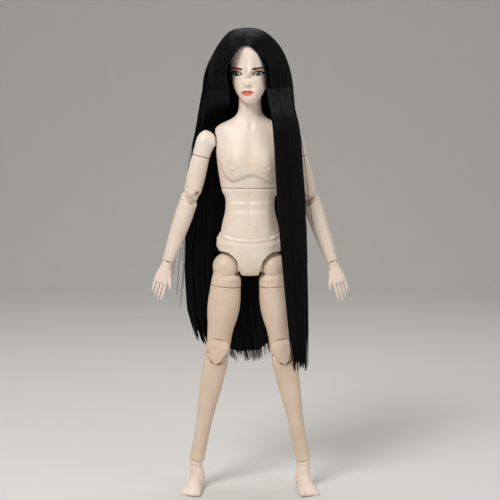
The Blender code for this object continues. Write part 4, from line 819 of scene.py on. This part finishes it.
def brow_middle(across):
    t = (across - BROW_IN) / (BROW_OUT - BROW_IN)
    return BROW_Z - 0.6 * MM + 1.9 * MM * t - 0.15 * MM * math.sin(math.pi * t)


def brow_half(across):
    t = clamp((across - BROW_IN) / (BROW_OUT - BROW_IN))
    return 0.66 * MM * (1 - t) ** 0.6 * step_up(t, -0.05, 0.10) + 0.12 * MM


for tag, side in SIDES:
    painted(tag + "brow", side, BROW_IN, BROW_OUT, lambda a: brow_middle(a) + brow_half(a),
            lambda a: brow_middle(a) - brow_half(a), brow_paint, 0.05 * MM)
print("brows painted")

# %% Lips
LIP_REACH = 4.1 * MM


def lip_share(across):
    return min(1.0, abs(across) / LIP_REACH)


def lip_top(across):
    t = lip_share(across)
    bow = 1.0 - 0.28 * math.exp(-(t / 0.14) ** 2)
    return MOUTH_Z + 1.40 * MM * bow * (1 - t ** 1.8)


def lip_line(across):
    return MOUTH_Z - 0.12 * MM * math.cos(lip_share(across) * math.pi * 1.5)


def lip_bottom(across):
    return MOUTH_Z - 2.10 * MM * (1 - lip_share(across) ** 2.2)


painted("upper_lip", 1, -LIP_REACH, LIP_REACH, lip_top, lip_line, lip_upper_paint, 0.04 * MM, 40, 5)
painted("lower_lip", 1, -LIP_REACH, LIP_REACH, lip_line, lip_bottom, lip_paint, 0.04 * MM, 40, 5)
painted("mouth_line", 1, -LIP_REACH * 0.95, LIP_REACH * 0.95,
        lambda a: lip_line(a) + 0.20 * MM * (1 - lip_share(a)) + 0.04 * MM,
        lambda a: lip_line(a) - 0.10 * MM, lip_dark, 0.07 * MM, 40, 2)
print("lips painted")

# %% [markdown]
# The hair is rooted along a parting and hangs straight to the knees, most of it behind the
# back and one lock in front of the doll's left shoulder. Single fibres are too fine to model, so
# bunches of them are drawn as thin curves with a round bevel that narrows to the tip. The hair
# turns with the head at its roots and rests on the shoulders further down, so it is made in
# three bands that meet at the same points. On the lock, the upper band runs over the next one.
#
# First comes the outline, measured at several heights: the edge of the hair round the face, the
# long fall behind the back, the lock, and the heights at which the tips end.

# %% Hair outline
ROOT_X = -3.8 * MM
SWING_TOP = 262.0 * MM
SWING_MIDDLE = 236.0 * MM
FALL_THICK = 4.2 * MM
# Distance across and height of the hair's edge beside the face, from the parting down.
FACE_EDGE = {
    -1: ((-3.4, 289.6), (-7.0, 286.4), (-10.6, 282.0), (-13.2, 277.6), (-14.6, 273.4), (-15.0, 269.4),
         (-14.6, 265.6), (-13.6, 262.0)),
    1: ((-3.2, 289.6), (0.2, 288.2), (3.6, 285.4), (6.3, 281.6), (8.2, 277.4), (9.5, 272.8), (10.3, 267.6),
        (10.8, 262.0)),
}
# Height, right and left reach, front edge and back of the fall, in millimetres.
FALL_ROWS = (
    (262.0, 29.8, 27.2, -4.0, 20.0), (254.7, 31.3, 28.0, -3.2, 20.2), (246.7, 33.0, 28.8, 2.0, 20.0),
    (238.8, 34.6, 29.7, 10.1, 19.8), (226.5, 37.0, 31.0, 11.3, 19.6), (201.9, 40.0, 33.1, 11.3, 19.6),
    (173.7, 41.7, 34.8, 11.3, 19.8), (145.5, 43.0, 35.3, 11.1, 19.8), (117.4, 41.4, 35.3, 11.1, 19.6),
    (101.5, 37.0, 35.3, 11.1, 19.4), (80.0, 28.4, 34.4, 11.3, 19.0),
)
# Height, middle across, half width and middle depth of the front lock, in millimetres.
LOCK_ROWS = (
    (262.0, 18.6, 7.9, -8.0), (254.6, 19.2, 7.6, -11.2), (245.7, 21.0, 7.7, -15.6),
    (238.6, 22.6, 8.0, -17.1), (226.0, 23.8, 8.2, -17.3), (199.5, 25.4, 8.3, -17.3),
    (169.0, 27.2, 8.1, -16.3), (137.0, 29.3, 7.3, -15.2), (109.0, 31.0, 6.2, -14.0),
    (80.0, 32.4, 5.0, -13.2),
)
LOCK_DEEP = 1.7 * MM
# Where the tips end: distance across and height, in millimetres.
TIP_ROWS = ((-44, 118), (-38, 102), (-30, 98), (-21, 96), (-17, 89), (-8, 86), (6, 87), (12, 92),
            (17, 89), (24, 85), (36, 84))


def fall_point(z, turn, inward):
    """A point of the fall: turn runs from its right edge round the back to its left edge,
    and inward from 0 on the outer face to 1 on the inner face."""
    right, left, ahead, behind = between(FALL_ROWS, z)
    deep = behind - ahead
    thin = FALL_THICK * inward
    across = (left - right) / 2 - ((left + right) / 2 - thin) * math.cos(turn)
    back = deep - thin * min(1.0, deep / (2 * FALL_THICK))
    return Vector((across, ahead + back * math.sin(turn), z))


def lock_point(z, turn, inward):
    """A point on the oval section of the front lock."""
    middle, half, ahead = between(LOCK_ROWS, z)
    size = 1.0 - 0.35 * inward
    return Vector((middle + half * size * math.cos(turn), ahead + LOCK_DEEP * size * math.sin(turn), z))


def tip_height(across):
    return between(TIP_ROWS, across)[0]


print("fall:", [round(value / MM, 1) for value in fall_point(120 * MM, 0.5, 0.0)], "mm")

# %% [markdown]
# On the head, each bunch leaves the parting and runs down to the height of the jaw. Its way is
# a mix of three guide curves: the edge of the hair round the face, the outline of the head from
# the front, and the middle of the back. A share from 0 to 2 goes round from the first to the
# last, and a ray cast from the front or the back lays the point on the head.

# %% Hair on the head
crown_bm = welded("hair_cap")
crown_bm.from_mesh(head.data)
crown_tree = BVHTree.FromBMesh(crown_bm)
CROWN_TOP = max(point.co.z for point in crown_bm.verts) - 0.3 * MM
crown_bm.free()
BACK_TOP = CROWN_TOP - 2.5 * MM
FAR = 80 * MM
PARTING_DIP = -0.7 * MM
CROWN_STEPS = 16
# How far a bunch runs on past the jaw, in millimetres, and how far it stands off there.
PAST = (2.0, 12.0)
PAST_OFF = 0.35 * MM


def edge_guide(side, u):
    rows = FACE_EDGE[side]
    spot = u * (len(rows) - 1)
    low = min(int(spot), len(rows) - 2)
    return [(a + (b - a) * (spot - low)) * MM for a, b in zip(rows[low], rows[low + 1])]


def outline_guide(u, reach, top):
    swing = u * math.pi / 2
    return [ROOT_X + (reach - ROOT_X) * math.sin(swing), SWING_TOP + (top - SWING_TOP) * math.cos(swing)]


def on_head(side, share, u, lift):
    """A point of a bunch between the parting, where u is 0, and the jaw, where u is 1."""
    right, left = between(FALL_ROWS, SWING_TOP)[:2]
    outer = outline_guide(u, left if side > 0 else -right, CROWN_TOP)
    if share <= 1:
        inner, facing, t = edge_guide(side, u), 1, 1 - share
    else:
        inner, facing, t = outline_guide(u, (left - right) / 2, BACK_TOP), -1, share - 1
    x, z = [a + (b - a) * t for a, b in zip(outer, inner)]
    hit, normal = crown_tree.ray_cast(Vector((x, -facing * FAR, z)), Vector((0, facing, 0)))[:2]
    if hit is None:
        hit, normal = crown_tree.find_nearest(Vector((x, 2 * MM, z)))[:2]
    return hit + normal * lift


def crown_path(side, share, target, lift, past=None):
    """A way from the parting to the target. past gives its points from there on."""
    path = []
    for i in range(CROWN_STEPS + 1):
        u = i / CROWN_STEPS
        rise = PARTING_DIP + (lift - PARTING_DIP) * step_up(u, -0.02, 0.16)
        path.append(on_head(side, share, u, rise))
    miss = target - path[-1]
    path = [spot + miss * step_up(i / CROWN_STEPS, 0.35, 1.0) for i, spot in enumerate(path)]
    for _ in range(2):
        path[1:-1] = [(a + b * 2 + c) / 4 for a, b, c in zip(path, path[1:], path[2:])]
    if past:
        reach = random.uniform(*PAST) * MM
        for t in (0.25, 0.5, 0.75, 1.0):
            path.append(past(SWING_TOP - reach * t) + Vector((0, -PAST_OFF * math.sin(math.pi * t), 0)))
    return path


print("top of the hair:", round(CROWN_TOP / MM, 1), "mm")

# %% [markdown]
# A bunch of the fall or the lock hangs from the jaw to its tip. Bunches that are neighbours
# belong to one tuft: they lean towards its middle and end at about its height, which gives the
# uneven tips of combed hair.

# %% Bunches of fibre
random.seed(7)
BAND_STEPS = 6
HANG_STEPS = 14
TUFT_PULL = 0.30
FALL_TUFTS = 22
LOCK_TUFTS = 6
EDGE_BUNCHES = 14
EDGE_SIZE = 0.45 * MM


def strand_set(name):
    data = bpy.data.curves.new(name, "CURVE")
    data.dimensions = "3D"
    data.bevel_depth = 1.0
    data.bevel_resolution = 0
    data.use_fill_caps = True
    return data


def add_strand(data, points, radii):
    spline = data.splines.new("POLY")
    spline.points.add(len(points) - 1)
    for corner, point, radius in zip(spline.points, points, radii):
        corner.co = (*point, 1.0)
        corner.radius = radius


crown_set, fall_neck_set, fall_set, lock_neck_set, lock_set = (
    strand_set(name) for name in ("crown", "fall_neck", "fall", "lock_neck", "lock"))


def hang(neck_set, low_set, place, top, turn, inward, size, tip_z, tuft_turn):
    """The two lower bands of a bunch. It starts at top and joins its place further down."""
    upper = []
    for i in range(BAND_STEPS + 1):
        z = SWING_TOP + (SWING_MIDDLE - SWING_TOP) * i / BAND_STEPS
        own = place(z, turn, inward)
        joined = step_up(i / BAND_STEPS, 0.0, 0.85)
        upper.append(Vector((top.x, top.y, z)).lerp(own, joined) if top else own)
    add_strand(neck_set, upper, [size] * len(upper))
    lower = []
    radii = []
    for i in range(HANG_STEPS + 1):
        t = i / HANG_STEPS
        z = SWING_MIDDLE + (tip_z - SWING_MIDDLE) * t
        lower.append(place(z, turn + (tuft_turn - turn) * TUFT_PULL * t ** 2, inward))
        radii.append(size * (1.0 - 0.35 * step_up(t, 0.3, 0.8) - 0.45 * step_up(t, 0.82, 1.0)))
    add_strand(low_set, lower, radii)
    return upper[0]


def rooted(side, share, joint, size, lift, past=None):
    """The band of a bunch on the head, thin where it is rooted and at its free end."""
    path = crown_path(side, share, joint, lift, past)
    radii = [size * (0.45 + 0.55 * step_up(i / CROWN_STEPS, 0.0, 0.3)) for i in range(CROWN_STEPS + 1)]
    add_strand(crown_set, path, radii + [size * (1 - 0.2 * i) for i in range(1, len(path) - CROWN_STEPS)])


def comb_fall(count, inward, size, tufts, crown):
    """Bunches side by side round one face of the fall."""
    drop = [random.uniform(-4.0, 2.5) * MM for _ in range(tufts + 1)]
    for i in range(count):
        turn = math.pi * (i + random.uniform(0.2, 0.8)) / count
        tuft = min(tufts, max(0, round(turn / math.pi * tufts + random.uniform(-0.45, 0.45))))
        own = size * random.uniform(0.8, 1.15)
        depth = inward + random.uniform(-0.08, 0.08)
        foot = fall_point(100 * MM, turn, depth)
        tip_z = tip_height(foot.x) + drop[tuft] + random.uniform(-2.0, 1.8) * MM
        joint = hang(fall_neck_set, fall_set, fall_point, None, turn, depth, own, tip_z,
                     tuft * math.pi / tufts)
        if crown:
            right, left = between(FALL_ROWS, SWING_TOP)[:2]
            middle = (left - right) / 2
            side = -1 if joint.x < middle else 1
            share = abs(joint.x - middle) / ((left if side > 0 else right) - side * middle)
            rooted(side, 2 - min(1.0, share), joint, own, random.uniform(0.1, 0.6) * MM)


def comb_temple(count, size):
    """The hair beside the right cheek, which runs back behind the shoulder."""
    for i in range(count):
        share = math.sin(math.pi / 2 * (i + random.uniform(0.2, 0.8)) / count)
        turn = 1.15 - 0.95 * share
        own = size * random.uniform(0.8, 1.1)
        tip_z = tip_height(-30 * MM) + random.uniform(-4, 4) * MM
        joint = hang(fall_neck_set, fall_set, fall_point, on_head(-1, share, 1.0, 0.2 * MM), turn, 0.92,
                     own, tip_z, turn)
        rooted(-1, share, joint, own, random.uniform(0.1, 0.5) * MM)


def comb_lock(count, inward, size, tufts):
    """Bunches side by side round the front lock."""
    drop = [random.uniform(-3.5, 3.0) * MM for _ in range(tufts + 1)]
    for i in range(count):
        turn = 2 * math.pi * (i + random.uniform(0.2, 0.8)) / count
        tuft = round((1 + math.cos(turn)) / 2 * tufts)
        tuft_turn = math.acos(2 * tuft / tufts - 1)
        tuft_turn = tuft_turn if turn < math.pi else 2 * math.pi - tuft_turn
        own = size * random.uniform(0.8, 1.15)
        foot = lock_point(100 * MM, turn, inward)
        tip_z = tip_height(foot.x) + drop[tuft] + random.uniform(-1.5, 1.5) * MM
        joint = hang(lock_neck_set, lock_set, lock_point, None, turn, inward, own, tip_z, tuft_turn)
        edge, reach = FACE_EDGE[1][-1][0] * MM, between(FALL_ROWS, SWING_TOP)[1]
        share = clamp((joint.x - edge) / (reach - edge))
        rooted(1, share, joint, own, random.uniform(0.1, 0.5) * MM, lambda z: lock_point(z, turn, inward))


# %% Combing the hair
# How many bunches, how far in they lie, their radius in mm, and whether they start on the head.
for count, inward, size, crown in ((150, 0.05, 0.62, True), (80, 0.25, 0.62, True),
                                   (150, 0.97, 0.55, False), (80, 0.78, 0.60, False)):
    comb_fall(count, inward, size * MM, FALL_TUFTS, crown)
comb_temple(60, 0.58 * MM)
for count, inward, size in ((80, 0.0, 0.52), (50, 0.5, 0.55)):
    comb_lock(count, inward, size * MM, LOCK_TUFTS)
# Thin bunches lie on top along the edge of the hair beside the face.
for side in (-1, 1):
    for _ in range(EDGE_BUNCHES):
        share = random.uniform(-0.015, 0.06)
        lift = random.uniform(0.5, 0.9) * MM
        rooted(side, share, on_head(side, share, 1.0, lift), EDGE_SIZE, lift)
print("bunches on the head:", len(crown_set.splines))

# %% [markdown]
# A few single hairs have come away from the lock and from the edge of the fall.

# %% Loose hairs
LOOSE_SIZE = 0.17 * MM
# Distance across at the tip and the tip's height, in millimetres.
LOOSE_TIPS = ((34.5, 168), (37.0, 152), (39.5, 176), (36.5, 140), (35.5, 122), (-44.6, 150), (-43.8, 132),
              (-48.5, 128), (-50.5, 141), (-46.5, 119), (-49.5, 150))
for across, tip in LOOSE_TIPS:
    left = across > 0
    start = lock_point(SWING_MIDDLE, 0.0, 0.0) if left else fall_point(SWING_MIDDLE, 0.0, 0.0)
    path = []
    for k in range(12):
        t = k / 11
        x = start.x + (across * MM - start.x) * t ** 0.8 + 0.5 * MM * math.sin(5 * t + across) * t
        path.append(Vector((x, start.y + 2 * MM * t, start.z + (tip * MM - start.z) * t)))
    add_strand(lock_set if left else fall_set, path, [LOOSE_SIZE] * 12)
print("bunches:", [(data.name, len(data.splines)) for data in (crown_set, fall_neck_set, fall_set,
                                                               lock_neck_set, lock_set)])


# %% Bunches as meshes
def combed(name, data, surface):
    made = coated(name, evaluated(put(name, data)), surface)
    return made


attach(combed("crown_bunches", crown_set, crown_fibre), "head")
for name, data in (("fall_neck_bunches", fall_neck_set), ("lock_neck_bunches", lock_neck_set)):
    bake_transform(combed(name, data, fibre))
for name, data in (("fall_bunches", fall_set), ("lock_bunches", lock_set)):
    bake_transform(combed(name, data, fibre))
print("bunches turned into meshes")

# %% [markdown]
# Under the bunches lie solid masses that close off the view to the scalp. They are a little
# slimmer than the working ones and end above the tips, so that only bunches make the ends.
# Where two masses meet, one reaches up into the other.

# %% Masses under the bunches
MASS_INSET = 0.45 * MM
MASS_SHORT = 3.0 * MM
CAP_INSET = 0.55 * MM
RIM_INSET = 0.9 * MM
RIM_TOP = 289.4 * MM
LOCK_SHIFT = 1.8 * MM
SHIFT_Z = (230 * MM, 256 * MM)
MASS_OVERLAP = 3.0 * MM
OVERLAP_Z = (257 * MM, 261 * MM)
MASS_VOXEL = 0.7 * MM
MASS_ROUNDS = 6


def shorten(bm):
    """Lift the lower end of a mass above the tips of its bunches."""
    for point in bm.verts:
        if point.co.z < 130 * MM:
            low = tip_height(point.co.x) + MASS_SHORT
            point.co.z = max(point.co.z, low + (point.co.z - 80 * MM) * 0.02)


def mass(node):
    bm = remeshed(welded(node), MASS_VOXEL)
    smooth(bm, bm.verts[:], MASS_ROUNDS)
    bm.normal_update()
    for point in bm.verts:
        point.co -= point.normal * MASS_INSET
    shorten(bm)
    return bm


def sliced(bm, above):
    """The part of a mass on one side of the neck's level, closed where it is cut."""
    part = bm.copy()
    bmesh.ops.bisect_plane(part, geom=part.verts[:] + part.edges[:] + part.faces[:],
                           plane_co=(0, 0, SWING_MIDDLE), plane_no=(0, 0, 1), clear_inner=above,
                           clear_outer=not above)
    rim = [edge for edge in part.edges if edge.is_boundary]
    bmesh.ops.holes_fill(part, edges=rim)
    bmesh.ops.recalc_face_normals(part, faces=part.faces[:])
    return part


def clear_face(bm):
    """Keep the cap's rim behind the bunches that edge the face."""
    for point in bm.verts:
        x, y, z = point.co
        if y < -3 * MM and z < RIM_TOP:
            side = -1 if x < FACE_X else 1
            edge = between([(row[1], row[0]) for row in FACE_EDGE[side]], z)[0] + side * RIM_INSET
            point.co.x = side * max(side * x, side * edge)


cap_bm = mass("hair_cap")
for point in cap_bm.verts:
    point.co -= point.normal * CAP_INSET
clear_face(cap_bm)
smooth(cap_bm, [point for point in cap_bm.verts if point.co.y < -3 * MM], 3)
cap_mass = shown("hair_cap_mass", cap_bm, crown_fibre)
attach(cap_mass, "head")
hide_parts("hair_cap")
for node in ("hair_fall", "hair_lock"):
    whole = mass(node)
    for point in whole.verts:
        if node == "hair_lock":
            point.co.x += LOCK_SHIFT * (1.0 - step_up(point.co.z, *SHIFT_Z))
        point.co.z += MASS_OVERLAP * step_up(point.co.z, *OVERLAP_Z)
    neck = shown(node + "_neck_mass", sliced(whole, True), fibre)
    low = shown(node + "_low_mass", sliced(whole, False), fibre)
    whole.free()
    for piece in (neck, low):
        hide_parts(node)
    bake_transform(neck)
    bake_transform(low)
print("hair masses made")

# %% [markdown]
# The doll stands on a roll of pale paper that curves up behind it. No edge shows from the front.

# %% Stage
FLOOR_HALF = 1.5
SWEEP_BACK = 0.9
SWEEP_RADIUS = 0.6
SWEEP_TALL = 2.0
matt_paper = clouded("pale_backdrop_paper", ("D6D3CF", "DAD7D3"), 30 * MM, 4.0, Roughness=0.9)[0]


def picked(items, kind):
    return [item for item in items if isinstance(item, kind)]


sweep = bmesh.new()
corners = [sweep.verts.new((x, -FLOOR_HALF, 0)) for x in (-FLOOR_HALF, FLOOR_HALF)]
edge = sweep.edges.new(corners)
run = bmesh.ops.extrude_edge_only(sweep, edges=[edge])["geom"]
far = picked(run, bmesh.types.BMVert)
bmesh.ops.translate(sweep, verts=far, vec=(0, FLOOR_HALF + SWEEP_BACK, 0))
bend = [edge for edge in picked(run, bmesh.types.BMEdge) if all(corner in far for corner in edge.verts)]
bent = bmesh.ops.spin(sweep, geom=bend + far, cent=(0, SWEEP_BACK, SWEEP_RADIUS), axis=(1, 0, 0),
                      angle=math.pi / 2, steps=24)["geom_last"]
last = picked(bent, bmesh.types.BMEdge)
up = picked(bmesh.ops.extrude_edge_only(sweep, edges=last)["geom"], bmesh.types.BMVert)
bmesh.ops.translate(sweep, verts=up, vec=(0, 0, SWEEP_TALL))
bmesh.ops.remove_doubles(sweep, verts=sweep.verts[:], dist=0.01 * MM)
bmesh.ops.recalc_face_normals(sweep, faces=sweep.faces[:])
if sum(face.normal.z for face in sweep.faces) < 0:
    bmesh.ops.reverse_faces(sweep, faces=sweep.faces[:])
shown("backdrop", sweep, matt_paper)
print("backdrop laid")

# %% Lights and camera
world = bpy.data.worlds.new("soft_room")
world.use_nodes = True
scene.world = world
sky = world.node_tree.nodes["Background"].inputs
sky["Color"].default_value = linear("E6E4E2")
sky["Strength"].default_value = 0.34


def soft_lamp(name, place, target, size, watts):
    data = bpy.data.lights.new(name, "AREA")
    data.shape = "DISK"
    data.size = size
    data.energy = watts
    lamp = put(name, data)
    lamp.location = place
    lamp.rotation_euler = (Vector(target) - Vector(place)).to_track_quat("-Z", "Y").to_euler()


MIDDLE = (0, 0, 0.16)
soft_lamp("key_softbox", (-0.40, -0.62, 0.88), (0, 0, 0.2), 0.45, 7.0)
soft_lamp("fill_softbox", (0.85, -0.75, 0.45), MIDDLE, 0.8, 2.6)
soft_lamp("top_softbox", (0.0, 0.25, 1.0), MIDDLE, 0.7, 3.6)

CAMERA_LENS = 85.0
CAMERA_DISTANCE = 0.7645
CAMERA_TILT = math.radians(6.0)
CAMERA_TARGET = Vector((0.0, 0.0, 0.1586))
camera = put("camera", bpy.data.cameras.new("camera"))
camera.data.lens = CAMERA_LENS
back_off = Vector((0, -math.cos(CAMERA_TILT), math.sin(CAMERA_TILT)))
camera.location = CAMERA_TARGET + back_off * CAMERA_DISTANCE
camera.rotation_euler = (-back_off).to_track_quat("-Z", "Y").to_euler()
scene.camera = camera
scene.view_settings.view_transform = "Standard"
print("lamps and camera set")

# %% Last update of the scene
bpy.context.view_layer.update()
